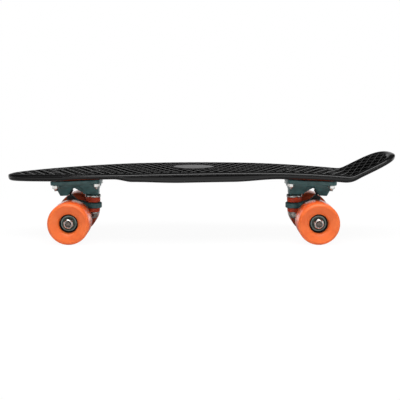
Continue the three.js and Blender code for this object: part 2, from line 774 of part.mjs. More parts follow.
function hanger() {
  const tube = turnedSolid([
    [0, -hangerHalfWidth],
    [hangerTubeEndRadius, -hangerHalfWidth],
    [hangerTubeRadius, -hangerHubHalfLength],
    [hangerTubeRadius, hangerHubHalfLength],
    [hangerTubeEndRadius, hangerHalfWidth],
    [0, hangerHalfWidth],
  ], smallFacets).rotateX(Math.PI / 2);
  const ring = ontoKingpin(turnedSolid([
    [0, -ringTop],
    [ringRadius - ringChamfer, -ringTop],
    [ringRadius, -ringTop - ringChamfer],
    [ringRadius, -ringFoot],
    [0, -ringFoot],
  ], smallFacets));
  const ringBack = ringCentreX - ringRadius * Math.SQRT1_2;
  const ringEdge = ringCentreX - ringRadius;
  const ringUp = ringCentreZ + ringHeight / 2 - gap;
  const ringDown = ringCentreZ - ringHeight / 2 + gap;
  const stemLeft = pivotX + pivotNoseRadius - gap;
  const stemFoot = 2 * hangerTubeRadius;
  const web = sidePlate([
    [-hangerTubeRadius, stemFoot + pivotNoseRadius],
    [hangerTubeEndRadius / 2, stemFoot + pivotNoseRadius],
    [ringBack, ringUp],
    [ringCentreX, ringUp],
    [ringCentreX, ringDown],
    [ringEdge, ringDown],
    [hangerTubeRadius, -hangerTubeEndRadius / 2],
    [0, -hangerTubeRadius],
    [-hangerTubeRadius, -hangerTubeEndRadius / 2],
    [-hangerTubeRadius, hangerTubeEndRadius],
  ], hangerWebHalfWidth);
  const mouthX = pivotX + pivotCupDepth * Math.cos(steerAngle);
  const mouthZ = pivotZ - pivotCupDepth * Math.sin(steerAngle);
  const stem = sidePlate([
    [stemLeft, stemNeckZ],
    [mouthX - pivotNoseRadius / 4, mouthZ - pivotNoseRadius / 2],
    [hangerTubeEndRadius - pivotNoseRadius / 2, stemFoot + pivotNoseRadius + gap],
    [hangerTubeEndRadius, stemFoot],
    [-stemReach, stemFoot],
    [-stemReach, stemShoulderZ],
  ], hangerStemHalfWidth);
  const wing = planPlate([
    [-hangerTubeEndRadius / 2, -hangerHalfWidth + pivotNoseRadius],
    [hangerTubeEndRadius / 2, -hangerHalfWidth + pivotNoseRadius],
    [ringEdge, -hangerWebHalfWidth],
    [ringEdge, hangerWebHalfWidth],
    [hangerTubeEndRadius / 2, hangerHalfWidth - pivotNoseRadius],
    [-hangerTubeEndRadius / 2, hangerHalfWidth - pivotNoseRadius],
  ], -hangerWingHalfHeight, hangerWingHalfHeight);
  const nose = ontoPivot(rod(pivotNoseRadius, -pivotNoseLength, 0, smallFacets));
  let body = solid(tube).add(solid(web)).add(solid(stem)).add(solid(wing)).add(solid(ring)).add(solid(nose));
  const seat = bushingEndRadius + gap;
  const bore = ontoKingpin(turnedSolid([
    [0, -ringTop + bushingBarrelHeight],
    [ringRadius, -ringTop + bushingBarrelHeight],
    [ringRadius, -ringTop],
    [seat, -ringTop],
    [seat, -ringTop - ringSeatDepth],
    [ringHoleRadius, -ringTop - ringSeatDepth],
    [ringHoleRadius, -ringFoot + ringSeatDepth],
    [seat, -ringFoot + ringSeatDepth],
    [seat, -ringFoot],
    [ringRadius, -ringFoot],
    [ringRadius, -ringFoot - roadBushingHeight],
    [0, -ringFoot - roadBushingHeight],
  ], smallFacets));
  const axleBore = rod(axleRadius + gap, -hangerHalfWidth - cutOverrun, hangerHalfWidth + cutOverrun, smallFacets);
  body = body.subtract(solid(bore)).subtract(solid(axleBore.rotateX(Math.PI / 2)));
  return geometryOf(body);
}

// Pieces on the axle: distances outward from the middle of the board

const innerWasherFoot = hangerHalfWidth + gap;
const innerWasherFace = innerWasherFoot + speedWasherThickness;
const innerBearing = innerWasherFace + gap;
const outerBearing = innerBearing + bearingWidth + bearingSpacing;
const stackEnd = outerBearing + bearingWidth;
const outerWasherFoot = stackEnd + gap;
const axleNutFoot = outerWasherFoot + speedWasherThickness + gap;
const axleEnd = axleNutFoot + axleNutHeight + axleProud;
const wheelOuterFace = wheelInnerFace + wheelWidth;

function axle() {
  return turnedSolid([
    [0, -axleEnd],
    [axleRadius, -axleEnd],
    [axleRadius, -innerWasherFace],
    [speedWasherRadius, -innerWasherFace],
    [speedWasherRadius, -innerWasherFoot],
    [axleRadius, -innerWasherFoot],
    [axleRadius, innerWasherFoot],
    [speedWasherRadius, innerWasherFoot],
    [speedWasherRadius, innerWasherFace],
    [axleRadius, innerWasherFace],
    [axleRadius, axleEnd],
    [0, axleEnd],
  ], smallFacets).rotateX(Math.PI / 2);
}

const flangeStart = (innerBearing + stackEnd - coreFlangeWidth) / 2;
const flangeEnd = flangeStart + coreFlangeWidth;
const coreInnerFace = wheelInnerFace + tyreBackDish + coreFaceInset;
const coreOuterFace = wheelOuterFace - tyreFaceDish - coreFaceInset;

function tyre() {
  const bore = coreRadius + gap;
  const groove = coreRadius + coreFlangeHeight + gap;
  const lip = wheelRadius - wheelLipRadius;
  const cut = wheelLipRadius * (1 - Math.SQRT1_2);
  return turned([
    [bore, wheelInnerFace + tyreBackDish],
    [bore + tyreBackMouth, wheelInnerFace],
    [lip, wheelInnerFace],
    [wheelRadius - cut, wheelInnerFace + cut],
    [wheelRadius, wheelInnerFace + wheelLipRadius],
    [wheelRadius, wheelOuterFace - wheelLipRadius],
    [wheelRadius - cut, wheelOuterFace - cut],
    [lip, wheelOuterFace],
    [bore, wheelOuterFace - tyreFaceDish],
    [bore, flangeEnd + gap],
    [groove, flangeEnd + gap],
    [groove, flangeStart - gap],
    [bore, flangeStart - gap],
  ], wheelFacets).rotateZ(Math.PI / wheelFacets);
}

function wheelCore() {
  const seat = bearingRadius + gap;
  const shoulder = bearingRadius - coreShoulderHeight;
  return turned([
    [coreRadius, coreInnerFace],
    [coreRadius, flangeStart],
    [coreRadius + coreFlangeHeight, flangeStart],
    [coreRadius + coreFlangeHeight, flangeEnd],
    [coreRadius, flangeEnd],
    [coreRadius, coreOuterFace],
    [coreRadius - coreWall + gap, coreOuterFace],
    [seat, outerBearing - gap],
    [shoulder, outerBearing - gap],
    [shoulder, innerBearing + bearingWidth + gap],
    [seat, innerBearing + bearingWidth + gap],
    [coreRadius - coreWall + gap, coreInnerFace],
  ], coreFacets);
}

// Outer race and shield; the side that faces out of the wheel is drawn in behind the race
function bearing(start, outward) {
  const end = start + bearingWidth;
  const race = bearingRadius - bearingRaceWall;
  const shieldStart = outward < 0 ? start + bearingShieldInset : start;
  const shieldEnd = outward > 0 ? end - bearingShieldInset : end;
  return turned([
    [bearingBoreRadius, shieldStart],
    [race, shieldStart],
    [race, start],
    [bearingRadius, start],
    [bearingRadius, end],
    [race, end],
    [race, shieldEnd],
    [bearingBoreRadius, shieldEnd],
  ].filter((point, i, all) => i === 0 || point[0] !== all[i - 1][0] || point[1] !== all[i - 1][1]), coreFacets);
}

function bearingSleeve() {
  return turned([
    [axleRadius + gap, innerBearing],
    [sleeveRadius, innerBearing],
    [sleeveRadius, stackEnd],
    [axleRadius + gap, stackEnd],
  ], smallFacets);
}

function speedWasher() {
  return turned([
    [axleRadius + gap, outerWasherFoot],
    [speedWasherRadius, outerWasherFoot],
    [speedWasherRadius, outerWasherFoot + speedWasherThickness],
    [axleRadius + gap, outerWasherFoot + speedWasherThickness],
  ], smallFacets);
}

function axleNut() {
  const top = axleNutFoot + axleNutHeight;
  const hex = solid(hexagon(axleNutFlats, axleNutFoot, top - axleNutCollar));
  const collar = solid(turnedSolid([
    [0, axleNutFoot + gap],
    [axleNutFlats / 2 - gap, axleNutFoot + gap],
    [axleNutFlats / 2 - gap, top - axleNutCollar / 2],
    [axleRadius + 2 * gap, top],
    [0, top],
  ], smallFacets));
  const bore = solid(rod(axleRadius + gap, 0, top + cutOverrun, smallFacets));
  return geometryOf(hex.add(collar).subtract(bore));
}

// Assembly

const board = new THREE.Group();
board.add(named('deck', deck(), deckPlastic));

for (const end of ends) {
  const stand = new THREE.Group();
  stand.position.set(end.x, 0, wheelRadius);
  stand.rotation.z = end.turn;
  board.add(stand);
  const truck = new THREE.Group();
  truck.rotation.y = -truckTilt;
  stand.add(truck);
  for (const place of boltPlaces) {
    truck.add(named(`${end.name}_bolt_${place.name}`, deckBolt(end, place), zinc));
  }
  truck.add(named(`${end.name}_baseplate`, baseplate(), truckPaint));
  truck.add(named(`${end.name}_pivot_cup`, pivotCup(), cupPlastic));
  truck.add(named(`${end.name}_kingpin`, kingpin(), zinc));
  truck.add(named(`${end.name}_kingpin_nut`, kingpinNut(), zinc));
  truck.add(named(`${end.name}_cup_washer`, cupWasher(), zinc));
  truck.add(named(`${end.name}_road_washer`, roadWasher(), zinc));
  truck.add(named(`${end.name}_board_bushing`, boardBushing(), bushingRubber));
  truck.add(named(`${end.name}_road_bushing`, roadBushing(), bushingRubber));
  truck.add(named(`${end.name}_hanger`, hanger(), truckPaint));
  truck.add(named(`${end.name}_axle`, axle(), zinc));
  // Each wheel is turned back by the truck's tilt, so that a flat of its tread is on the floor
  for (const side of [{ name: 'left', turn: Math.PI / 2 }, { name: 'right', turn: -Math.PI / 2 }]) {
    const hub = new THREE.Group();
    hub.rotation.x = end.turn === 0 ? side.turn : -side.turn;
    hub.rotation.z = -Math.sign(hub.rotation.x) * truckTilt;
    truck.add(hub);
    const label = `${end.name}_${side.name}`;
    hub.add(named(`${label}_tyre`, tyre(), urethane));
    hub.add(named(`${label}_wheel_core`, wheelCore(), coreNylon));
    hub.add(named(`${label}_outer_bearing`, bearing(outerBearing, 1), shieldSteel));
    hub.add(named(`${label}_inner_bearing`, bearing(innerBearing, -1), shieldSteel));
    hub.add(named(`${label}_bearing_sleeve`, bearingSleeve(), zinc));
    hub.add(named(`${label}_speed_washer`, speedWasher(), zinc));
    hub.add(named(`${label}_axle_nut`, axleNut(), zinc));
  }
}

// The origin goes under the middle of the board's own box
board.updateMatrixWorld(true);
const extent = new THREE.Box3().setFromObject(board, true);
const middle = extent.getCenter(new THREE.Vector3());
for (const piece of board.children) {
  piece.position.x -= middle.x;
  piece.position.z -= extent.min.z;
}

export default board;
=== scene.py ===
import math
from bisect import bisect_left

import bmesh
import bpy
from mathutils import Matrix, Vector


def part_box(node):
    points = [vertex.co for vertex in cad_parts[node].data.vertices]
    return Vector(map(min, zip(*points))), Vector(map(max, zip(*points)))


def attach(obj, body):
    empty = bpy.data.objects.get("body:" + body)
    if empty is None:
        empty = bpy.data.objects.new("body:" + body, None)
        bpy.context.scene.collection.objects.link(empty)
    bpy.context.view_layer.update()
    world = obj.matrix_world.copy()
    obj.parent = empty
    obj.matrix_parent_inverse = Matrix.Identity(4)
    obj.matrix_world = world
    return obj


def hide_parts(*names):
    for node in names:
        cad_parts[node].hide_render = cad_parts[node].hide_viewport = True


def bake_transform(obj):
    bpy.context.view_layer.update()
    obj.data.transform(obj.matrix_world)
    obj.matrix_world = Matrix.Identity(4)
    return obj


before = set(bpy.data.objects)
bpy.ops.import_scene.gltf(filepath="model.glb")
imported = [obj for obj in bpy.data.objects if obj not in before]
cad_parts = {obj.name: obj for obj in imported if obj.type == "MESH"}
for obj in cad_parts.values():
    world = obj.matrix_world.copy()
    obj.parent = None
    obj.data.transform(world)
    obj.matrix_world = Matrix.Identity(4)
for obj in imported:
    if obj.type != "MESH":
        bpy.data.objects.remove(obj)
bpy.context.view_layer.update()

mm = 0.001
ends = {"nose": 0, "tail": math.pi}     # how far each truck is turned round
sides = {"left": -1, "right": 1}        # the camera stands on the left


class Wire:                             # a shader value that can be added and multiplied like a number
    def __init__(self, paint, socket):
        self.paint, self.socket = paint, socket

    def calc(self, operation, first, second):
        return self.paint.node("ShaderNodeMath", {"operation": operation}, {0: first, 1: second})

    def __add__(self, other): return self.calc("ADD", self, other)
    def __radd__(self, other): return self.calc("ADD", other, self)
    def __sub__(self, other): return self.calc("SUBTRACT", self, other)
    def __rsub__(self, other): return self.calc("SUBTRACT", other, self)
    def __mul__(self, other): return self.calc("MULTIPLY", self, other)
    def __rmul__(self, other): return self.calc("MULTIPLY", other, self)


class Paint:
    def __init__(self, name, world=False):
        self.data = (bpy.data.worlds if world else bpy.data.materials).new(name)
        self.data.use_nodes = True
        self.tree = self.data.node_tree
        self.tree.nodes.clear()

    def node(self, kind, settings={}, sockets={}, out=0):
        made = self.tree.nodes.new(kind)
        for key, value in settings.items():
            if key == "stops":
                while len(made.color_ramp.elements) < len(value):
                    made.color_ramp.elements.new(1)
                for element, (place, colour) in zip(made.color_ramp.elements, value):
                    element.position, element.color = place, (*colour, 1)
            else:
                setattr(made, key, value)
        for key, value in sockets.items():
            if isinstance(value, Wire):
                self.tree.links.new(value.socket, made.inputs[key])
            else:
                made.inputs[key].default_value = value
        return Wire(self, made.outputs[out]) if made.outputs else None

    def place(self, scale=(1, 1, 1)):
        coords = self.node("ShaderNodeTexCoord", out=3)
        return self.node("ShaderNodeMapping", {"vector_type": "TEXTURE"}, {"Vector": coords, "Scale": scale})

    def grain(self, size, detail=3, rough=0.5, at=None):      # size in mm
        return self.node("ShaderNodeTexNoise", {"noise_dimensions": "3D"}, {
            "Vector": at or self.place(), "Scale": 1 / (size * mm), "Detail": detail, "Roughness": rough})

    def span(self, value, low, high, newLow=0.0, newHigh=1.0):
        return self.node("ShaderNodeMapRange", {"interpolation_type": "SMOOTHSTEP"}, {
            "Value": value, "From Min": low, "From Max": high, "To Min": newLow, "To Max": newHigh})

    def mix(self, share, first, second):
        colours = {6: first if isinstance(first, Wire) else (*first, 1),
                   7: second if isinstance(second, Wire) else (*second, 1)}
        return self.node("ShaderNodeMix", {"data_type": "RGBA"}, {0: share, **colours}, out=2)

    def bump(self, height, depth, strength):                  # depth in mm
        return self.node("ShaderNodeBump", {}, {
            "Height": height, "Distance": depth * mm, "Strength": strength})

    def finish(self, sockets):
        shader = self.node("ShaderNodeBsdfPrincipled", {}, sockets)
        self.node("ShaderNodeOutputMaterial", {}, {"Surface": shader})
        return self.data


def tinted(colour, share):
    return [channel * share for channel in colour]


# grains are in mm, and a pair says where a grain begins to show and where it shows fully
plasticWear = {
    "fine": 0.5, "cloud": 22, "scuff": 1.6, "scuffDrawn": (9, 1.4, 1), "scratch": (0.63, 0.74),
    "dark": 0.8, "light": 1.25, "worn": 3.2, "wornShare": 0.35,
}


def deckPlastic(name, black, rough, level, pitDepth):
    paint = Paint(name)
    fine = paint.grain(plasticWear["fine"], 4, 0.6)
    broad = paint.grain(plasticWear["cloud"], 3)
    scuff = paint.grain(plasticWear["scuff"], 5, 0.7, paint.place(plasticWear["scuffDrawn"]))
    scratch = paint.span(scuff, *plasticWear["scratch"])
    colour = paint.mix(broad, tinted(black, plasticWear["dark"]), tinted(black, plasticWear["light"]))
    worn = paint.mix(scratch * plasticWear["wornShare"], colour, tinted(black, plasticWear["worn"]))
    return paint.finish({
        "Base Color": worn,
        "Roughness": rough + 0.12 * (broad - 0.5) + 0.16 * scratch + 0.1 * (fine - 0.5),
        "Specular IOR Level": level,
        "Normal": paint.bump(fine * 0.8 + scuff * 0.3, pitDepth, 0.5),
    })


paintWear = {
    "cast": 1.3, "cloud": 9, "cloudSpan": (0.35, 0.65), "nick": 0.9, "nickSpan": (0.70, 0.76),
    "nickShare": 0.4, "rough": 0.40, "metallic": 0.18, "castDepth": 0.16,
}


def truckPaint(name, lit, dull, bare):
    paint = Paint(name)
    cast = paint.grain(paintWear["cast"], 5, 0.62)
    cloud = paint.grain(paintWear["cloud"], 4)
    nick = paint.span(paint.grain(paintWear["nick"], 2), *paintWear["nickSpan"])
    colour = paint.mix(paint.span(cloud, *paintWear["cloudSpan"]), dull, lit)
    return paint.finish({
        "Base Color": paint.mix(nick * paintWear["nickShare"], colour, bare),
        "Metallic": paintWear["metallic"] + 0.35 * nick,
        "Roughness": paintWear["rough"] + 0.14 * cloud + 0.08 * (cast - 0.5),
        "Specular IOR Level": 0.5,
        "Normal": paint.bump(cast, paintWear["castDepth"], 0.55),
    })


urethane = {
    "cloud": 14, "cloudSpan": (0.3, 0.7), "fine": 0.35, "fineDepth": 0.05,
    "speck": 1.1, "speckSpan": (0.66, 0.78), "speckShare": 0.22, "dust": (0.40, 0.08, 0.03),
    "glow": 0.12, "glowRadius": (0.004, 0.0012, 0.0005), "coatRough": 0.08,
}


def wheelUrethane(name, body, deep, rough, level, coat):
    paint = Paint(name)
    cloud = paint.grain(urethane["cloud"], 4)
    fine = paint.grain(urethane["fine"], 3, 0.6)
    speck = paint.span(paint.grain(urethane["speck"], 4, 0.7), *urethane["speckSpan"])
    colour = paint.mix(paint.span(cloud, *urethane["cloudSpan"]), body, deep)
    return paint.finish({
        "Base Color": paint.mix(speck * urethane["speckShare"], colour, urethane["dust"]),
        "Roughness": rough + 0.08 * cloud + 0.12 * speck,
        "Subsurface Weight": urethane["glow"],
        "Subsurface Radius": urethane["glowRadius"],
        "Subsurface Scale": 1.0,
        "Specular IOR Level": level,
        "Coat Weight": coat,
        "Coat Roughness": urethane["coatRough"],
        "Normal": paint.bump(fine, urethane["fineDepth"], 0.4),
    })


rubber = {
    "body": (0.54, 0.044, 0.007), "deep": (0.36, 0.028, 0.005), "cloud": 4, "cloudSpan": (0.35, 0.7),
    "fine": 0.4, "fineDepth": 0.06, "rough": 0.38, "glow": 0.08, "glowRadius": (0.002, 0.0006, 0.0003),
}


def bushingRubber():
    paint = Paint("bushingRubber")
    cloud = paint.grain(rubber["cloud"], 4)
    fine = paint.grain(rubber["fine"], 3)
    return paint.finish({
        "Base Color": paint.mix(paint.span(cloud, *rubber["cloudSpan"]), rubber["body"], rubber["deep"]),
        "Roughness": rubber["rough"] + 0.16 * cloud,
        "Subsurface Weight": rubber["glow"],
        "Subsurface Radius": rubber["glowRadius"],
        "Subsurface Scale": 1.0,
        "Specular IOR Level": 0.3,
        "Normal": paint.bump(fine, rubber["fineDepth"], 0.4),
    })


moulded = {"cloud": 5, "fine": 0.45, "fineDepth": 0.06, "dark": 0.7, "light": 1.4, "level": 0.18}


def mouldedBlack(name, shade, rough):
    paint = Paint(name)
    fine = paint.grain(moulded["fine"], 4, 0.6)
    cloud = paint.grain(moulded["cloud"], 3)
    return paint.finish({
        "Base Color": paint.mix(cloud, [shade * moulded["dark"]] * 3, [shade * moulded["light"]] * 3),
        "Roughness": rough + 0.12 * (cloud - 0.5),
        "Specular IOR Level": moulded["level"],
        "Normal": paint.bump(fine, moulded["fineDepth"], 0.4),
    })


metalWear = {
    "cloudSpan": (0.35, 0.7), "fine": 0.3, "fineDepth": 0.03,
    "spotSize": 0.4, "spotSpan": (0.58, 0.72), "spotTint": 0.35,
}


def metal(name, bright, dull, rough, stain=0.25, size=3.0):
    paint = Paint(name)
    cloud = paint.grain(size, 5, 0.6)
    fine = paint.grain(metalWear["fine"], 3, 0.6)
    spot = paint.span(paint.grain(size * metalWear["spotSize"], 4, 0.65), *metalWear["spotSpan"])
    colour = paint.mix(paint.span(cloud, *metalWear["cloudSpan"]), bright, dull)
    return paint.finish({
        "Base Color": paint.mix(spot * stain, colour, tinted(dull, metalWear["spotTint"])),
        "Metallic": 1.0 - 0.25 * spot,
        "Roughness": rough + 0.16 * cloud + 0.15 * spot,
        "Normal": paint.bump(fine, metalWear["fineDepth"], 0.35),
    })


finishes = {
    "deck": deckPlastic("deckPlastic", (0.0034, 0.0034, 0.0035), 0.14, 0.40, 0.01),
    "grip": deckPlastic("gripPlastic", (0.0014, 0.0014, 0.0014), 0.12, 0.07, 0.01),
    "well": deckPlastic("wellPlastic", (0.0012, 0.0012, 0.0012), 0.5, 0.01, 0.05),
    "pad": deckPlastic("padPlastic", (0.0180, 0.0180, 0.0183), 0.20, 0.36, 0.02),
    "truck": truckPaint("truckPaint", (0.056, 0.138, 0.140), (0.038, 0.097, 0.099), (0.19, 0.21, 0.20)),
    # the stem finish is painted shade: a near-black copy of the truck paint for the hanger's shaded stem and arm
    "stem": truckPaint("stemPaint", (0.008, 0.013, 0.013), (0.005, 0.008, 0.008), (0.02, 0.02, 0.02)),
    "wheel": wheelUrethane("wheelFace", (0.70, 0.138, 0.029), (0.64, 0.112, 0.021), 0.40, 0.30, 0.0),
    # the tread finish is polished, and its orange, lighter than the face's, is painted light for the light on the
    # tread's sides
    "tread": wheelUrethane("wheelTreadPaintedLight", (0.95, 0.14, 0.022), (0.88, 0.115, 0.018), 0.16, 0.45, 0.3),
    # the inside finish is painted shade: a darker copy of the urethane for the tyre's inner face
    "inside": wheelUrethane("wheelInsidePaintedShade", (0.40, 0.052, 0.012), (0.33, 0.040, 0.009), 0.45, 0.25, 0.0),
    "bushing": bushingRubber(),
    "core": mouldedBlack("coreNylon", 0.004, 0.5),
    "cup": mouldedBlack("cupPlastic", 0.02, 0.55),
    "nutRing": mouldedBlack("nutRingNylon", 0.05, 0.4),
    "boltHead": metal("boltHeadSteel", (0.045, 0.045, 0.047), (0.02, 0.02, 0.021), 0.4),
    "zinc": metal("zincPlate", (0.95, 0.95, 0.93), (0.78, 0.78, 0.75), 0.18, 0.15),
    # the washer finish is zinc mottled very dark in clouds, a painted reflection of the dark parts round the
    # washers, with bright glints between
    "washer": metal("washerZincPaintedReflection", (0.80, 0.80, 0.77), (0.16, 0.16, 0.15), 0.16, 0.3, 3.4),
    "darkNut": metal("darkNutSteel", (0.60, 0.55, 0.50), (0.17, 0.15, 0.14), 0.30),
    "axle": metal("axleSteel", (0.34, 0.28, 0.25), (0.13, 0.10, 0.09), 0.34, 0.5, 1.5),
    "race": metal("raceSteel", (0.26, 0.31, 0.29), (0.18, 0.22, 0.20), 0.22, 0.1),
    "shield": metal("shieldSteel", (0.115, 0.150, 0.130), (0.060, 0.078, 0.068), 0.34, 0.2),
}
print("finishes made")


# where things stand: the deck, each truck, its kingpin and its wheels have frames of their own, in mm
def middleOf(node):
    low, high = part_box(node)
    return (low + high) / 2


truck = {
    "tilt": math.radians(2.6), "kingpinFoot": (28.8, 0, 32.3), "kingpinLean": math.radians(4.5),
    "plateTop": 55,
}
axleAt = {end: middleOf(end + "_axle") for end in ends}
middleX = (axleAt["nose"].x + axleAt["tail"].x) / 2
wheelRadius = 29.5
deckPlace = Matrix.Translation((middleX, 0, axleAt["nose"].z - wheelRadius * mm)) @ Matrix.Scale(mm, 4)


def truckPlace(end):
    turned = Matrix.Rotation(ends[end], 4, "Z") @ Matrix.Rotation(-truck["tilt"], 4, "Y")
    return Matrix.Translation(axleAt[end]) @ turned @ Matrix.Scale(mm, 4)


def kingpinPlace(end):
    leaned = Matrix.Rotation(truck["kingpinLean"], 4, "Y")
    return truckPlace(end) @ Matrix.Translation(truck["kingpinFoot"]) @ leaned


def hubPlace(end, side):
    outward = Matrix.Rotation(-sides[side] * math.pi / 2, 4, "X")
    return Matrix.Translation(axleAt[end]) @ outward @ Matrix.Scale(mm, 4)


def turnedShape(outline, steps, closedLoop=True):        # each point: radius, height and perhaps a rounding
    bm = bmesh.new()
    points = [bm.verts.new((point[0], 0, point[1])) for point in outline]
    for pair in zip(points, points[1:]):
        bm.edges.new(pair)
    if closedLoop:
        bm.edges.new((points[-1], points[0]))
    rounded = [(vert, point[2]) for vert, point in zip(points, outline) if len(point) > 2]
    for vert, radius in rounded:
        bmesh.ops.bevel(bm, geom=[vert], offset=radius, offset_type="OFFSET", segments=4,
                        profile=0.5, affect="VERTICES", material=-1)
    bmesh.ops.spin(bm, geom=bm.verts[:] + bm.edges[:], cent=(0, 0, 0), axis=(0, 0, 1),
                   angle=2 * math.pi, steps=steps, use_merge=True, use_duplicate=False)
    return tidied(bm)


def tidied(bm):
    bmesh.ops.remove_doubles(bm, verts=bm.verts, dist=0.0005)
    bmesh.ops.recalc_face_normals(bm, faces=bm.faces)
    return bm


def roundEdges(bm, edges, radius, segments=3):
    bmesh.ops.bevel(bm, geom=edges, offset=radius, segments=segments, profile=0.5, affect="EDGES", material=-1)


def hexagon(flats, low, high, edge, turn=0.0):           # flats: from one flat side to the opposite one
    bm = bmesh.new()
    bmesh.ops.create_circle(bm, cap_ends=True, segments=6, radius=flats / 2 / math.cos(math.pi / 6))
    grown = bmesh.ops.extrude_face_region(bm, geom=bm.faces[:])
    tops = [item for item in grown["geom"] if isinstance(item, bmesh.types.BMVert)]
    bmesh.ops.translate(bm, verts=bm.verts, vec=(0, 0, low))
    bmesh.ops.translate(bm, verts=tops, vec=(0, 0, high - low))
    bmesh.ops.rotate(bm, verts=bm.verts, matrix=Matrix.Rotation(turn, 3, "Z"))
    roundEdges(bm, [e for e in bm.edges if abs(e.verts[0].co.z - e.verts[1].co.z) < 0.01], edge)
    return tidied(bm)


def threaded(radius, low, high, pitch, depth):           # outline points up the outside of a thread
    points = [(radius - depth, low)]
    height = low + 0.25
    while height < high - pitch:
        points += [(radius, height), (radius - depth, height + pitch / 2)]
        height += pitch
    return points


def joined(parts):                                       # pairs of a bmesh and its place into one bmesh
    whole = bmesh.new()
    for bm, place in parts:
        bm.transform(place)
        carrier = bpy.data.meshes.new("carrier")
        bm.to_mesh(carrier)
        bm.free()
        whole.from_mesh(carrier)
        bpy.data.meshes.remove(carrier)
    return whole


def piece(name, bm, finish, body, nodes, smoothTo):
    for face in bm.faces:
        face.smooth = True
    for edge in bm.edges:
        if len(edge.link_faces) == 2 and edge.calc_face_angle(0) > math.radians(smoothTo):
            edge.smooth = False
    mesh = bpy.data.meshes.new(name)
    bm.to_mesh(mesh)
    bm.free()
    mesh.materials.append(finishes[finish])
    made = bpy.data.objects.new(name, mesh)
    bpy.context.collection.objects.link(made)
    if nodes:
        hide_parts(*nodes)
    if body:
        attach(made, body)
    return made


deck = {
    # the outline from above
    "noseReach": 270.3, "noseTaper": 183.0, "noseBluntness": 1.9, "noseSweep": 1.3,
    "tailReach": 288.7, "tailEnd": 42.0, "tailBluntness": 2.5,
    "halfWidth": 76.2, "tailHalfWidth": 54.5, "waistStart": -60.0, "waistLength": 285.0,
    # the top's line from the side
    "crownX": 60.0, "crownHeight": 102.279, "noseCamber": 9.5, "tailCamber": 7.6,
    "kickX": 221.6, "kickBlend": 6.0, "kickAngle": math.radians(26.5), "kickFlattening": 3.7, "kickPower": 8,
    # how deep the rim is, with its belly placed inward from the axles
    "noseThickness": 9.9, "noseWell": 7.5, "wellFrom": -205, "wellTo": -122, "tailWell": 10.2,
    "kickThickness": 7.9, "kickEase": 10, "bellyHeel": 11.3, "heelFrom": 79, "heelTo": 159,
    "belly": 13.9, "bellyNose": 76.5, "bellyNoseEase": 13, "bellyTail": 84, "bellyTailEase": 34,
    "spine": 11.2, "spineFrom": 28.9, "spineTo": 56.9, "spineInner": 0.5, "spineOuter": 0.72,
    # the rim's profile from the grip's edge to the underside, in insets and depths
    "margin": 6.6, "lip": [(0.25, 0.35), (0.4, 0.10)],
    "rollWidth": 9.9, "rollDepth": 2.67, "rollStart": 0.927, "rollTurns": (25, 32, 42, 52, 62, 72, 84),
    "groove": [(0.0, 2.35), (0.15, 2.45), (0.75, 2.6), (0.75, 3.1), (0.15, 3.3), (0.0, 3.5)],
    "footRadius": 2.6, "footGrowth": 0.4, "footLargest": 4.2, "footTop": 3.7, "footInset": 0.1,
    # the grip's sunken floor, which stops short of the tail
    "sink": 1.35, "bareFrom": 277.5, "bareBow": 10.0, "bareAcross": 45.0, "bareIn": 0.6, "bareOut": 1.6,
    # the mesh
    "gridAlong": 190, "gridAcross": 44, "squareness": 8, "endBow": 0.1, "smoothTo": 40,
}
deckHalf = (deck["noseReach"] + deck["tailReach"]) / 2
deckMiddle = (deck["tailReach"] - deck["noseReach"]) / 2
halfBase = (axleAt["tail"].x - axleAt["nose"].x) / 2 / mm


def between(low, high, value):
    share = min(max((value - low) / (high - low), 0), 1)
    return share * share * (3 - 2 * share)


def halfWidthAt(x):
    waist = min(max((x - deck["waistStart"]) / deck["waistLength"], 0), 1)
    narrowing = (1 - math.cos(math.pi * waist)) / 2
    body = deck["halfWidth"] + (deck["tailHalfWidth"] - deck["halfWidth"]) * narrowing
    nose = min(max((deck["noseTaper"] - deck["noseReach"] - x) / deck["noseTaper"], 0), 1)
    tail = min(max((x - deck["tailReach"] + deck["tailEnd"]) / deck["tailEnd"], 0), 1)
    noseShare = (1 - nose ** deck["noseSweep"]) ** (1 / deck["noseBluntness"])
    return body * noseShare * (1 - tail ** deck["tailBluntness"]) ** (1 / deck["tailBluntness"])


def camberDrop(x):
    if x < deck["crownX"]:
        return deck["noseCamber"] * ((deck["crownX"] - x) / (deck["crownX"] + deck["noseReach"])) ** 2
    return deck["tailCamber"] * ((x - deck["crownX"]) / (deck["kickX"] - deck["crownX"])) ** 2


kickFoot = deck["kickX"] - deck["kickBlend"]
kickLength = deck["tailReach"] - kickFoot
footSlope = -2 * deck["tailCamber"] * (kickFoot - deck["crownX"]) / (deck["kickX"] - deck["crownX"]) ** 2
kickTurn = math.tan(deck["kickAngle"]) - footSlope


def topHeight(x):
    if x < kickFoot:
        return deck["crownHeight"] - camberDrop(x)
    run, blend = x - kickFoot, deck["kickBlend"]
    curve = run * run / (4 * blend) if run < 2 * blend else run - blend
    flat = deck["kickFlattening"] * (run / kickLength) ** deck["kickPower"]
    return deck["crownHeight"] - camberDrop(kickFoot) + footSlope * run + kickTurn * curve - flat


def lean(x):
    return math.atan((topHeight(x + 0.05) - topHeight(x - 0.05)) / 0.1)


def onDeck(x, y, depth):                                 # a point under the deck's top, square to it
    turn = lean(x)
    return Vector((x + depth * math.sin(turn), y, topHeight(x) - depth * math.cos(turn)))


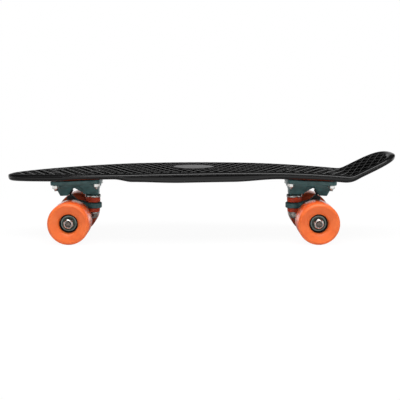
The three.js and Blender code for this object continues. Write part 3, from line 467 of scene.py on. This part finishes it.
def rimThickness(x):
    start, end = deck["bellyNose"] - halfBase, halfBase - deck["bellyTail"]
    noseShare = between(deck["wellFrom"], deck["wellTo"], x)
    well = deck["noseThickness"] + (deck["noseWell"] - deck["noseThickness"]) * noseShare
    well += (deck["tailWell"] - well) * between(start, end, x)
    kickShare = between(deck["kickX"] - deck["kickEase"], deck["kickX"] + deck["kickEase"], x)
    well += (deck["kickThickness"] - well) * kickShare
    heelShare = between(deck["heelFrom"] - halfBase, deck["heelTo"] - halfBase, x)
    belly = deck["bellyHeel"] + (deck["belly"] - deck["bellyHeel"]) * heelShare
    deep = between(start - deck["bellyNoseEase"], start + deck["bellyNoseEase"], x)
    deep *= 1 - between(end - deck["bellyTailEase"], end + deck["bellyTailEase"], x)
    return well + (belly - well) * deep


def thicknessAt(x, sideShare):                           # a spine down the middle holds the trucks' bolts
    rim = rimThickness(x)
    along = 1 - between(halfBase + deck["spineFrom"], halfBase + deck["spineTo"], abs(x))
    across = 1 - between(deck["spineInner"], deck["spineOuter"], abs(sideShare))
    return rim + (max(rim, deck["spine"]) - rim) * along * across


def planPoint(p, q):                                     # the square grid drawn out to the deck's outline
    endShare = abs(p) ** deck["squareness"]
    along = p * (1 - deck["endBow"] * endShare * q * q)
    side = math.sqrt(q * q + (1 - q * q) * (1 - endShare))
    sideShare = q / side if side > 1e-9 else 0
    x = deckMiddle + along * deckHalf
    return x, sideShare, halfWidthAt(x) * sideShare


def sinkAt(x, y):                                        # how deep the grip's floor lies
    bare = deck["bareFrom"] - deck["bareBow"] * (y / deck["bareAcross"]) ** 2
    return deck["sink"] * (1 - between(bare - deck["bareIn"], bare + deck["bareOut"], x))


def rimProfile(full, sunk):
    share = sunk / deck["sink"]
    steps = [(deck["margin"] - inset, depth * share) for inset, depth in deck["lip"]]
    for turn in deck["rollTurns"]:                       # an oval roll, wide on top and tight at the side
        angle = math.radians(turn)
        steps.append((deck["rollWidth"] * (1 - math.sin(angle)),
                      deck["rollDepth"] * (deck["rollStart"] - math.cos(angle))))
    steps += deck["groove"]
    foot = min(deck["footRadius"] + deck["footGrowth"] * max(deck["belly"] - full, 0), deck["footLargest"])
    low = max(full - foot, deck["footTop"])
    radius = full - low
    for turn in range(0, 91, 15):
        angle = math.radians(turn)
        steps.append((deck["footInset"] + radius * (1 - math.cos(angle)), low + radius * math.sin(angle)))
    return steps


def insetFrom(point, inward, inset, depth):
    return onDeck(point.x + inward.x * inset, point.y + inward.y * inset, depth)


def buildDeck():
    bm = bmesh.new()
    rimLayer = bm.verts.layers.int.new("rim")
    bmesh.ops.create_grid(bm, x_segments=deck["gridAlong"], y_segments=deck["gridAcross"], size=1)
    flat = {vert: (vert.co.x, vert.co.y) for vert in bm.verts}
    edgeVerts = [vert for vert in bm.verts if vert.is_boundary]
    outline = {vert: planPoint(*flat[vert]) for vert in edgeVerts}
    walk = sorted(edgeVerts, key=lambda vert: math.atan2(flat[vert][1], flat[vert][0]))
    points = [Vector((outline[vert][0], outline[vert][2])) for vert in walk]
    inwards = []
    for i, vert in enumerate(walk):
        tangent = (points[(i + 1) % len(walk)] - points[i - 1]).normalized()
        inwards.append(Vector((-tangent.y, tangent.x)))
        vert[rimLayer] = i
    full = [rimThickness(point.x) for point in points]
    # the underside is a second grid, drawn to the last ring of the rim
    twins = bmesh.ops.duplicate(bm, geom=bm.verts[:] + bm.edges[:] + bm.faces[:])["vert_map"]
    last = deck["footInset"] + deck["footLargest"]
    for vert, (p, q) in flat.items():
        twin = twins[vert]
        x, share = planPoint(p, q)[:2]
        if vert.is_boundary:
            i = vert[rimLayer]
            vert.co = insetFrom(points[i], inwards[i], deck["margin"], sinkAt(*points[i]))
            twin.co = insetFrom(points[i], inwards[i], *rimProfile(full[i], deck["sink"])[-1])
            continue
        for target, inset in ((vert, deck["margin"]), (twin, last)):
            drawn = deckMiddle + (x - deckMiddle) * (1 - inset / deckHalf)
            wide = max(halfWidthAt(x) - inset, 0.0) * share
            depth = sinkAt(drawn, wide) if target is vert else thicknessAt(drawn, share)
            target.co = onDeck(drawn, wide, depth)
    # the rim grows ring by ring from the edge of the grip
    ring = [e for e in bm.edges if e.is_boundary and e.verts[0] in flat]
    profiles = [rimProfile(value, sinkAt(*point)) for value, point in zip(full, points)]
    for step in range(len(profiles[0])):
        grown = bmesh.ops.extrude_edge_only(bm, edges=ring)["geom"]
        for vert in grown:
            if isinstance(vert, bmesh.types.BMVert):
                i = vert[rimLayer]
                vert.co = insetFrom(points[i], inwards[i], *profiles[i][step])
        ring = [item for item in grown if isinstance(item, bmesh.types.BMEdge)]
    for face in bm.faces:                                # the grip's floor has a finish of its own
        middle = face.calc_center_median()
        floor = all(vert in flat for vert in face.verts) and sinkAt(middle.x, middle.y) > 0.9 * deck["sink"]
        face.material_index = int(floor)
    bmesh.ops.remove_doubles(bm, verts=bm.verts, dist=0.01)
    bmesh.ops.recalc_face_normals(bm, faces=bm.faces)
    grip = [insetFrom(point, inward, deck["margin"] - 0.3, 0) for point, inward in zip(points, inwards)]
    return bm, grip


pad = {"size": (70.0, 53.8, 5), "at": (6.65, 0, 57.8), "corner": 5.9, "edge": 0.4}


def buildPad():                                          # the flat under the deck that carries a truck
    bm = bmesh.new()
    bmesh.ops.create_cube(bm, size=1)
    bmesh.ops.scale(bm, verts=bm.verts, vec=pad["size"])
    bmesh.ops.translate(bm, verts=bm.verts, vec=pad["at"])
    roundEdges(bm, [e for e in bm.edges if abs(e.verts[0].co.z - e.verts[1].co.z) > 1], pad["corner"], 6)
    roundEdges(bm, [e for e in bm.edges if all(vert.co.z < pad["at"][2] for vert in e.verts)], pad["edge"], 2)
    return bm


deckMesh, gripLine = buildDeck()
parts = [(deckMesh, deckPlace)] + [(buildPad(), truckPlace(end)) for end in ends]
made = piece("deckShell", joined(parts), "deck", "board", ["deck"], deck["smoothTo"])
made.data.materials.append(finishes["well"])
print("deck shell made")


# crossed ridges, with bare bosses round the bolts and a smooth oval in the middle
grip = {
    "pitchX": 12.62, "pitchY": 29.25, "rows": range(-30, 34), "reach": 80.0, "stride": 0.4,
    "ridgeWidth": 3.0, "ridgeTop": 1.9, "crest": 0.55, "buried": 0.4, "step": 5.0, "shortest": 2.4,
    "bossRadius": 7.4, "countersink": 5.0, "bossFlare": 0.4,
    "ovalLength": 58.0, "ovalWidth": 46.0, "ovalRise": 0.8, "ovalReach": 0.98, "smoothTo": 50,
}
bolts = {"x": 7.5, "spaceX": 29.3, "y": 20.6, "z": 66}    # in the truck's frame
boltPlaces = [(bolts["x"] + along * bolts["spaceX"], across * bolts["y"], along, across)
              for along in (-1, 1) for across in (-1, 1)]
bosses = []
for end in ends:
    for x, y, along, across in boltPlaces:
        spot = deckPlace.inverted() @ (truckPlace(end) @ Vector((x, y, bolts["z"])))
        bosses.append((spot.x, spot.y))
gripSide = sorted((point.x, abs(point.y)) for point in gripLine if point.y >= 0)


def gripHalfWidth(x):
    i = bisect_left(gripSide, (x, 0))
    if i == 0 or i == len(gripSide):
        return 0
    (x0, y0), (x1, y1) = gripSide[i - 1], gripSide[i]
    return y0 + (y1 - y0) * (x - x0) / max(x1 - x0, 1e-6)


def ridged(x, y):
    if abs(y) > gripHalfWidth(x) or sinkAt(x, y) < deck["sink"]:
        return False
    if (2 * x / grip["ovalLength"]) ** 2 + (2 * y / grip["ovalWidth"]) ** 2 < grip["ovalReach"]:
        return False
    clear = grip["bossRadius"] - grip["bossFlare"]
    return all((x - bx) ** 2 + (y - by) ** 2 > clear ** 2 for bx, by in bosses)


def ridgeRuns(slant):                                    # the stretches of every ridge of one slant
    for row in grip["rows"]:
        run = None
        for i in range(int(2 * grip["reach"] / grip["stride"]) + 2):
            y = -grip["reach"] + i * grip["stride"]
            x = grip["pitchX"] * (row - slant * y / grip["pitchY"])
            if ridged(x, y):
                run = (run[0], (x, y)) if run else ((x, y), (x, y))
            elif run:
                yield run
                run = None


def ridgeBar(start, end):
    along = Vector(end) - Vector(start)
    length = along.length
    along.normalize()
    bm = bmesh.new()
    bmesh.ops.create_cube(bm, size=1)
    for vert in bm.verts:                                # narrower on top than at its foot
        vert.co.x *= grip["ridgeTop"] if vert.co.z > 0 else grip["ridgeWidth"]
        vert.co.y = (vert.co.y + 0.5) * length
        vert.co.z = deck["sink"] if vert.co.z > 0 else -grip["buried"]
    crests = [e for e in bm.edges if all(vert.co.z > 0 for vert in e.verts) and e.calc_length() > 2]
    roundEdges(bm, crests, grip["crest"])
    lengthways = [e for e in bm.edges if abs(e.verts[0].co.y - e.verts[1].co.y) > length * 0.9]
    cuts = max(int(length / grip["step"]), 1)
    bmesh.ops.subdivide_edges(bm, edges=lengthways, cuts=cuts, use_grid_fill=True)
    for vert in bm.verts:
        across, run, height = vert.co
        x = start[0] + along.x * run + along.y * across
        y = start[1] + along.y * run - along.x * across
        vert.co = onDeck(x, y, deck["sink"] - height)
    return bm


parts = []
for slant in (1, -1):
    for start, end in ridgeRuns(slant):
        if (Vector(end) - Vector(start)).length > grip["shortest"]:
            parts.append((ridgeBar(start, end), Matrix()))
for bx, by in bosses:
    boss = turnedShape([
        (grip["countersink"], -grip["buried"]), (grip["countersink"], deck["sink"], 0.3),
        (grip["bossRadius"], deck["sink"], 0.5), (grip["bossRadius"] + grip["bossFlare"], -grip["buried"]),
    ], 40)
    for vert in boss.verts:
        vert.co = onDeck(bx + vert.co.x, by + vert.co.y, deck["sink"] - vert.co.z)
    parts.append((boss, Matrix()))
gripMesh = joined(parts)
bmesh.ops.recalc_face_normals(gripMesh, faces=gripMesh.faces)
gripMesh.transform(deckPlace)
piece("deckGrip", gripMesh, "grip", "board", [], grip["smoothTo"])

oval = turnedShape([
    (0, -3.4), (0.99, -3.4), (1, -0.55), (0.992, -0.2), (0.975, -0.04), (0.95, 0), (0, 0),
], 96, False)
oval.transform(deckPlace @ Matrix.Translation((0, 0, topHeight(0) + grip["ovalRise"]))
               @ Matrix.Diagonal((grip["ovalLength"] / 2, grip["ovalWidth"] / 2, 1, 1)))
piece("deckOval", oval, "pad", "board", [], grip["smoothTo"])
print("grip made")


bolt = {
    "radius": 2.4, "pitch": 0.9, "threadDepth": 0.25, "threadPast": 2, "proud": 3.4,
    "headRadius": 4.7, "headHeight": 2.7, "headSunk": 0.3, "socketRadius": 1.6, "socketDepth": 1.8,
    "flats": 8.6, "nutTop": 49.2, "nutHeight": 4.8, "nutEdge": 0.45, "nutTurn": math.pi / 6, "padToTop": 13.0,
}


def deckTopInTruck(end, x):
    height = truck["plateTop"] + bolt["padToTop"]
    toDeck = deckPlace.inverted() @ truckPlace(end)
    for i in range(4):                                   # a few rounds are enough for it to settle
        point = toDeck @ Vector((x, 0, height))
        height += topHeight(point.x) - point.z
    return height


for end in ends:
    for x, y, along, across in boltPlaces:
        radius, headRadius, socket = bolt["radius"], bolt["headRadius"], bolt["socketRadius"]
        top = deckTopInTruck(end, x) - bolt["headSunk"]
        headFoot = top - bolt["headHeight"]
        nutFoot = bolt["nutTop"] - bolt["nutHeight"]
        foot, threadTop = nutFoot - bolt["proud"], bolt["nutTop"] + bolt["threadPast"]
        shank = turnedShape(
            [(0, foot)] + threaded(radius, foot, threadTop, bolt["pitch"], bolt["threadDepth"])
            + [(radius, threadTop), (radius, headFoot - 0.1), (0, headFoot - 0.1)], 40, False)
        head = turnedShape([
            (0, headFoot - 0.2), (radius - 0.05, headFoot - 0.2), (radius, headFoot),
            (headRadius - 0.15, top - 0.25), (headRadius - 0.35, top), (socket + 0.3, top),
            (socket + 0.05, top - 0.2), (socket, top - bolt["socketDepth"]), (0, top - bolt["socketDepth"]),
        ], 40, False)
        nut = hexagon(bolt["flats"], nutFoot, bolt["nutTop"], bolt["nutEdge"], bolt["nutTurn"])
        collar = turnedShape([
            (radius - 0.2, nutFoot - 0.9), (3.2, nutFoot - 0.9, 0.5),
            (3.7, nutFoot + 0.4), (radius - 0.2, nutFoot + 0.4),
        ], 36)
        place = truckPlace(end) @ Matrix.Translation((x, y, 0))
        # left and right are told in each truck's own frame, so the tail's are turned round
        name = f"{end}_bolt_{'outboard' if along < 0 else 'inboard'}_{'left' if across < 0 else 'right'}"
        made = joined([(shank, place), (nut, place), (collar, place)])
        piece(name.replace("_bolt_", "Bolt_"), made, "zinc", "board", [name], 30)
        piece(name.replace("_bolt_", "BoltHead_"), joined([(head, place)]), "boltHead", "board", [], 30)
print("bolts made")


# cast base and hanger, smoothed from the frame's own solids
casting = {
    "voxel": 0.55, "smoothing": 14, "smoothShare": 0.5,
    "baseRound": (8.6, 0.6, 4), "ringRound": (13.1, -20, -13.4), "roundWithin": 0.5,   # radius, low, high
    # stemOut, stemAcross and stemUp bound the hanger's painted shade
    "stemOut": 5, "stemAcross": 12, "stemUp": 13,
}


def castPiece(end, part, node, body, trueRound):
    name = end + part
    bm = bmesh.new()
    bm.from_mesh(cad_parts[node].data)
    bmesh.ops.remove_doubles(bm, verts=bm.verts, dist=1e-6)
    source = bpy.data.meshes.new(name + "Source")
    bm.to_mesh(source)
    bm.free()
    holder = bpy.data.objects.new(name + "Source", source)
    bpy.context.collection.objects.link(holder)
    remesh = holder.modifiers.new("cast", "REMESH")
    remesh.mode, remesh.voxel_size = "VOXEL", casting["voxel"] * mm
    smooth = holder.modifiers.new("soften", "SMOOTH")
    smooth.factor, smooth.iterations = casting["smoothShare"], casting["smoothing"]
    graph = bpy.context.evaluated_depsgraph_get()
    bm = bmesh.new()
    bm.from_mesh(bpy.data.meshes.new_from_object(holder.evaluated_get(graph)))
    bpy.data.objects.remove(holder)
    place, (radius, low, high) = kingpinPlace(end), trueRound
    back = place.inverted()
    for vert in bm.verts:                                # brings the turned face back to a true circle
        local = back @ vert.co
        reach = math.hypot(local.x, local.y)
        if low < local.z < high and abs(reach - radius) < casting["roundWithin"]:
            vert.co = place @ Vector((local.x * radius / reach, local.y * radius / reach, local.z))
    toTruck = truckPlace(end).inverted()
    for face in bm.faces:                                # the hanger's stem and arm stand in the shade, so they get painted shade: a near-black copy of the truck paint
        at = toTruck @ face.calc_center_median()
        stem = at.x < casting["stemOut"] and abs(at.y) < casting["stemAcross"] and at.z > casting["stemUp"]
        face.material_index = int(body != "board" and stem)
    made = piece(name, bm, "truck", body, [node], 180)
    made.data.materials.append(finishes["stem"])


for end in ends:
    castPiece(end, "Base", end + "_baseplate", "board", casting["baseRound"])
    castPiece(end, "Hanger", end + "_hanger", end + "_hanger_assembly", casting["ringRound"])
print("castings made")


# the kingpin's stack, measured along it from the foot of the base; a bushing lists two heights it would bend
# between
stack = {
    "CupWasher": {"node": "_cup_washer", "finish": "washer", "outline": [
        (5.0, -0.3), (10.0, -0.3, 0.5), (11.55, -2.1, 0.7), (11.55, -4.5, 0.25), (10.6, -4.5, 0.25),
        (10.3, -2.6, 0.6), (5.0, -2.1)]},
    "BoardBushing": {"node": "_board_bushing", "finish": "bushing", "bend": (-3.5, -12.2), "outline": [
        (5.0, -2.5), (9.3, -2.5), (9.5, -4.6, 0.3), (10.3, -4.9, 0.4), (10.9, -8.2, 2.0), (10.5, -11.4, 0.5),
        (9.4, -11.8, 0.2), (9.3, -13.9), (5.0, -13.9)]},
    "RoadBushing": {"node": "_road_bushing", "finish": "bushing", "bend": (-26.0, -20.2), "outline": [
        (5.0, -18.5), (9.3, -18.5), (9.4, -20.6, 0.2), (10.4, -20.9, 0.5), (10.6, -23.4, 1.6),
        (9.9, -26.3, 0.6), (5.0, -26.3)]},
    "RoadWasher": {"node": "_road_washer", "finish": "washer", "outline": [
        (5.0, -26.6), (9.4, -26.6, 0.35), (9.4, -28.6, 0.35), (5.0, -28.6)]},
}
kingpin = {
    "radius": 4.76, "end": -36.5, "threadTop": -24, "pitch": 1.05, "threadDepth": 0.35,
    "headFlats": 14.3, "headHeight": 6.5, "headReach": 14.3, "headSunk": 0.3, "edge": 0.6,
    "nutFlats": 14.3, "nutTop": -28.9, "nutFoot": -35.3, "nutTurn": 0.35, "crownHeight": 1.4,
}
headTop = (truck["plateTop"] - truck["kingpinFoot"][2]) / math.cos(truck["kingpinLean"])
headTop -= kingpin["headReach"] * math.tan(truck["kingpinLean"]) + kingpin["headSunk"]

for end in ends:
    place = kingpinPlace(end)
    for key, values in stack.items():
        shape = turnedShape(values["outline"], 80)
        shape.transform(place)
        bend = values.get("bend")
        made = piece(end + key, shape, values["finish"], None if bend else "board", [end + values["node"]], 30)
        if bend:                                         # a bushing gets no body, and its place is baked into its mesh
            end + "_hanger_assembly"
            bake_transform(made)
    foot, bore = kingpin["nutFoot"], kingpin["radius"] + 0.1
    nut = hexagon(kingpin["nutFlats"], foot + kingpin["crownHeight"], kingpin["nutTop"],
                  kingpin["edge"], kingpin["nutTurn"])
    crown = turnedShape([
        (bore, foot + 0.1), (6.0, foot, 0.5), (6.8, foot + 1.0, 0.4), (6.8, foot + 2.2), (bore, foot + 2.2),
    ], 64)
    made = joined([(nut, place), (crown, place)])
    piece(end + "KingpinNut", made, "darkNut", "board", [end + "_kingpin_nut"], 30)
    radius, low, threadTop = kingpin["radius"], kingpin["end"], kingpin["threadTop"]
    pin = turnedShape(
        [(0, low), (radius - 0.7, low)]
        + threaded(radius, low + 0.4, threadTop, kingpin["pitch"], kingpin["threadDepth"])
        + [(radius, threadTop), (radius, headTop - 1), (0, headTop - 1)], 48, False)
    head = hexagon(kingpin["headFlats"], headTop - kingpin["headHeight"], headTop, kingpin["edge"])
    piece(end + "Kingpin", joined([(pin, place), (head, place)]), "axle", "board", [end + "_kingpin"], 30)
    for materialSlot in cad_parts[end + "_pivot_cup"].material_slots:
        materialSlot.material = finishes["cup"]
print("kingpin stacks made")


# axles and wheels, measured outward from the board's middle
wheel = {
    "tyre": [
        (12.8, 33), (16.8, 28, 0.8), (24.2, 28, 0.6), (29.31, 29.2, 4.0), (29.31, 71.9, 4.0), (25.6, 73, 1.2),
        (22.5, 72.4, 2.0), (17.0, 70.6, 3.0), (14.4, 68.4, 2.0), (13.15, 65.0, 0.4), (13.15, 63.2),
        (12.8, 63.2), (12.8, 57.4), (16.2, 57.4), (16.2, 42.8), (12.8, 42.8)],
    "core": [
        (12.5, 34.2, 0.2), (12.5, 43.1), (15.9, 43.1), (15.9, 57.1), (12.5, 57.1), (12.5, 63.3),
        (13.05, 63.3), (13.05, 64.1, 0.3), (11.5, 63.9, 0.25),
        (11.3, 54.8), (8.8, 54.8), (8.8, 45.4), (11.3, 45.4), (11.3, 34.2, 0.2)],
    "race": [(9.35, 0.0), (11.0, 0.0, 0.3), (11.0, 7.0, 0.3), (9.35, 7.0, 0.15)],
    "shield": [
        (5.95, 0.9), (6.7, 0.75, 0.2), (7.4, 1.0), (8.6, 1.0), (9.0, 0.65, 0.15), (9.35, 0.7), (9.35, 1.2),
        (9.35, 5.8), (9.35, 6.3), (9.0, 6.35, 0.15), (8.6, 6.0), (7.4, 6.0), (6.7, 6.25, 0.2), (5.95, 6.1)],
    "innerBearing": 38.1, "outerBearing": 55.1, "polishedFrom": 28.8, "insideBelow": 31,
}
axle = {
    "radius": 4.0, "end": 70.6, "threadFrom": 60.5, "pitch": 0.95, "threadDepth": 0.3,
    "bore": 4.3, "washerRadius": 5.6, "innerWasher": (36.8, 37.8), "outerWasher": (62.4, 63.4),
    "sleeve": (38.1, 62.1), "nutFoot": 63.7, "nutFlats": 12.7, "nutHeight": 6.0, "nutEdge": 0.5,
    "nutTurn": 0.2, "collar": 1.7, "faceRadius": 5.9, "cornerSlope": 1.7,
}


def axleHalf():
    radius, washer, (low, high) = axle["radius"], axle["washerRadius"], axle["innerWasher"]
    return ([(radius, low), (washer, low, 0.15), (washer, high, 0.15), (radius, high)]
            + [(radius, axle["threadFrom"])]
            + threaded(radius, axle["threadFrom"], axle["end"] - 0.6, axle["pitch"], axle["threadDepth"])
            + [(radius - 0.7, axle["end"] - 0.15), (radius - 1.0, axle["end"])])


def tube(heights, rounding):                             # a washer or a sleeve round the axle
    (low, high), bore, outside = heights, axle["bore"], axle["washerRadius"]
    return turnedShape([(bore, low), (outside, low, rounding), (outside, high, rounding), (bore, high)], 48)


def axleNut():                                           # the hexagon, its collar and the soft ring inside
    foot, face = axle["nutFoot"], axle["faceRadius"]
    top = foot + axle["nutHeight"]
    hexTop = top - axle["collar"]
    hexNut = hexagon(axle["nutFlats"], foot, hexTop, axle["nutEdge"], axle["nutTurn"])
    bmesh.ops.subdivide_edges(hexNut, edges=hexNut.edges[:], cuts=5, use_grid_fill=True)
    for vert in hexNut.verts:                            # the corners of both faces are turned off
        reach = math.hypot(vert.co.x, vert.co.y)
        limit = face + axle["cornerSlope"] * min(hexTop - vert.co.z, vert.co.z - foot + 0.3)
        if reach > limit:
            vert.co.xy *= limit / reach
    collar = turnedShape([
        (4.6, hexTop - 1), (face, hexTop - 1), (face, hexTop + 0.7, 0.6), (5.5, top, 0.5),
        (4.75, top, 0.2), (4.6, top - 0.5),
    ], 60)
    ring = turnedShape([
        (4.25, hexTop - 1), (4.65, hexTop - 1), (4.65, top - 0.45, 0.15), (4.25, top - 0.55, 0.1),
    ], 60)
    return hexNut, collar, ring


for end in ends:
    hanger = end + "_hanger_assembly"
    half = axleHalf()
    outline = [(0, -axle["end"])] + [(point[0], -point[1]) for point in reversed(half)]
    outline += [point[:2] for point in half] + [(0, axle["end"])]
    rod = turnedShape(outline, 48, False)
    rod.transform(hubPlace(end, "right"))
    piece(end + "Axle", rod, "axle", hanger, [end + "_axle"], 30)
    for side in sides:
        place = hubPlace(end, side)
        tag, node = end + side.capitalize(), f"{end}_{side}_"
        washer, sleeve = tube(axle["outerWasher"], 0.15), tube(axle["sleeve"], 0.2)
        hexNut, collar, ring = axleNut()
        piece(tag + "SpeedWasher", joined([(washer, place)]), "zinc", hanger, [node + "speed_washer"], 30)
        made = joined([(hexNut, place), (collar, place)])
        piece(tag + "AxleNut", made, "zinc", hanger, [node + "axle_nut"], 30)
        piece(tag + "NutRing", joined([(ring, place)]), "nutRing", hanger, [], 30)
        piece(tag + "BearingSleeve", joined([(sleeve, place)]), "race", hanger, [node + "bearing_sleeve"], 30)
    for side in sides:
        body = f"{end}_{side}_wheel"
        place = hubPlace(end, side)
        tag = end + side.capitalize()
        tyre = turnedShape(wheel["tyre"], 128)
        for face in tyre.faces:                          # a polished tread with a lighter orange that is painted light, and a darker inner side that is painted shade
            middle = face.calc_center_median()
            tread = math.hypot(middle.x, middle.y) > wheel["polishedFrom"]
            face.material_index = 1 if tread else 2 if middle.z < wheel["insideBelow"] else 0
        tyre.transform(place)
        made = piece(tag + "Tyre", tyre, "wheel", body, [f"{end}_{side}_tyre"], 40)
        made.data.materials.append(finishes["tread"])
        made.data.materials.append(finishes["inside"])
        core = turnedShape(wheel["core"], 96)
        core.transform(place)
        piece(tag + "Core", core, "core", body, [f"{end}_{side}_wheel_core"], 35)
        for where in ("inner", "outer"):
            start = place @ Matrix.Translation((0, 0, wheel[where + "Bearing"]))
            race, shield = turnedShape(wheel["race"], 96), turnedShape(wheel["shield"], 96)
            race.transform(start)
            shield.transform(start)
            node = f"{end}_{side}_{where}_bearing"
            piece(f"{tag}{where.capitalize()}Race", race, "race", body, [node], 35)
            piece(f"{tag}{where.capitalize()}Shield", shield, "shield", body, [], 35)
print("wheels made")


studio = {
    "floor": (0.86, 0.86, 0.86), "floorSize": 12, "mottle": 60,
    "glow": 0.95, "glowFrom": 0.3, "glowTo": 0.9,         # the paper turns plain white away from the board
    "floorGloss": 0.9, "dim": 0.2, "dimFrom": 0.1, "dimTo": 0.34,    # mirrors see it darker near the board, a painted shadow under the board
    "skyGloss": 0.01, "evenLight": 0.5,
    "sky": [(0.0, 0.46), (0.16, 0.46), (0.26, 0.012), (0.80, 0.012), (0.95, 0.5)],    # height and brightness
    "top": {"at": (0.0, -0.35, 1.10), "size": (1.5, 0.7), "power": 20.0},
    "front": {"at": (0.0, -2.2, 0.45), "size": (2.4, 0.5), "power": 2.0},
    "right": {"at": (1.6, -0.5, 0.35), "size": (0.9, 0.5), "power": 2.5},
    "aim": (0, 0, 0.05),
}
view = {
    "at": (middleX, -1.2218, 0.23545), "down": math.radians(8.486), "lens": 75.9, "shift": 0.0159, "sensor": 36,
}


def larger(first, second):
    return first.calc("MAXIMUM", first, second)


def lightPaths(paint):                                   # camera and glass rays, and rays off mirrors
    path = paint.node("ShaderNodeLightPath").socket.node
    cameraRay, glossyRay, glassRay = (
        Wire(paint, path.outputs[name])
        for name in ("Is Camera Ray", "Is Glossy Ray", "Is Transmission Ray"))
    return larger(cameraRay, glassRay), glossyRay


floorPaint = Paint("floorPaper")
mottle = floorPaint.grain(studio["mottle"], 3)
away = floorPaint.node("ShaderNodeVectorMath", {"operation": "LENGTH"}, {0: floorPaint.place()}, out=1)
glowShare = floorPaint.span(away, studio["glowFrom"], studio["glowTo"], studio["glow"], 1.0)
diffuse = floorPaint.node("ShaderNodeBsdfDiffuse", {}, {
    "Color": floorPaint.mix(mottle, studio["floor"], tinted(studio["floor"], 1.02))})
direct, glossy = lightPaths(floorPaint)
seen = larger(direct, glossy * studio["floorGloss"])
beside = floorPaint.node("ShaderNodeSeparateXYZ", {}, {0: floorPaint.place()}, out=1)
# the floor as mirrors see it is dimmed beside the board: painted shadow
mirroredShadow = floorPaint.span(beside * beside, studio["dimFrom"] ** 2, studio["dimTo"] ** 2, studio["dim"], 1.0)
glow = floorPaint.node("ShaderNodeEmission", {}, {"Color": (1, 1, 1, 1), "Strength": larger(direct, mirroredShadow)})
both = floorPaint.node("ShaderNodeMixShader", {}, {0: seen * glowShare, 1: diffuse, 2: glow})
floorPaint.node("ShaderNodeOutputMaterial", {}, {"Surface": both})

bm = bmesh.new()
bmesh.ops.create_grid(bm, x_segments=4, y_segments=4, size=studio["floorSize"])
floorMesh = bpy.data.meshes.new("studioFloor")
bm.to_mesh(floorMesh)
bm.free()
floorMesh.materials.append(floorPaint.data)
studioFloor = bpy.data.objects.new("studioFloor", floorMesh)
bpy.context.collection.objects.link(studioFloor)

sky = Paint("studioSky", world=True)
white = sky.node("ShaderNodeBackground", {}, {"Color": (1, 1, 1, 1), "Strength": 1.0})
up = sky.node("ShaderNodeSeparateXYZ", {}, {0: sky.node("ShaderNodeTexCoord")}, out=2)
direct, glossy = lightPaths(sky)
seen = larger(direct, glossy * studio["skyGloss"])
stops = [(at, (level,) * 3) for at, level in studio["sky"]]
walls = sky.node("ShaderNodeValToRGB", {"stops": stops}, {0: up})
soft = sky.node("ShaderNodeBackground", {}, {            # mirrors see the walls, and matt faces an even light
    "Color": (1, 1, 1, 1), "Strength": walls * glossy + (1 - glossy) * studio["evenLight"]})
shown = sky.node("ShaderNodeMixShader", {}, {0: seen, 1: soft, 2: white})
sky.node("ShaderNodeOutputWorld", {}, {"Surface": shown})
bpy.context.scene.world = sky.data

for key in ("top", "front", "right"):
    values = studio[key]
    lamp = bpy.data.lights.new(key + "Lamp", "AREA")
    lamp.shape, lamp.size, lamp.size_y = "RECTANGLE", *values["size"]
    lamp.energy = values["power"]
    lampObject = bpy.data.objects.new(key + "Lamp", lamp)
    lampObject.location = values["at"]
    aim = Vector(studio["aim"]) - Vector(values["at"])
    lampObject.rotation_euler = aim.to_track_quat("-Z", "Y").to_euler()
    bpy.context.collection.objects.link(lampObject)

camera = bpy.data.cameras.new("camera")
camera.lens, camera.sensor_width, camera.shift_x = view["lens"], view["sensor"], view["shift"]
cameraObject = bpy.data.objects.new("camera", camera)
cameraObject.location = view["at"]
cameraObject.rotation_euler = (math.pi / 2 - view["down"], 0, 0)
bpy.context.collection.objects.link(cameraObject)
bpy.context.scene.camera = cameraObject
bpy.context.scene.view_settings.view_transform = "Standard"
print("studio made")

bpy.context.view_layer.update()
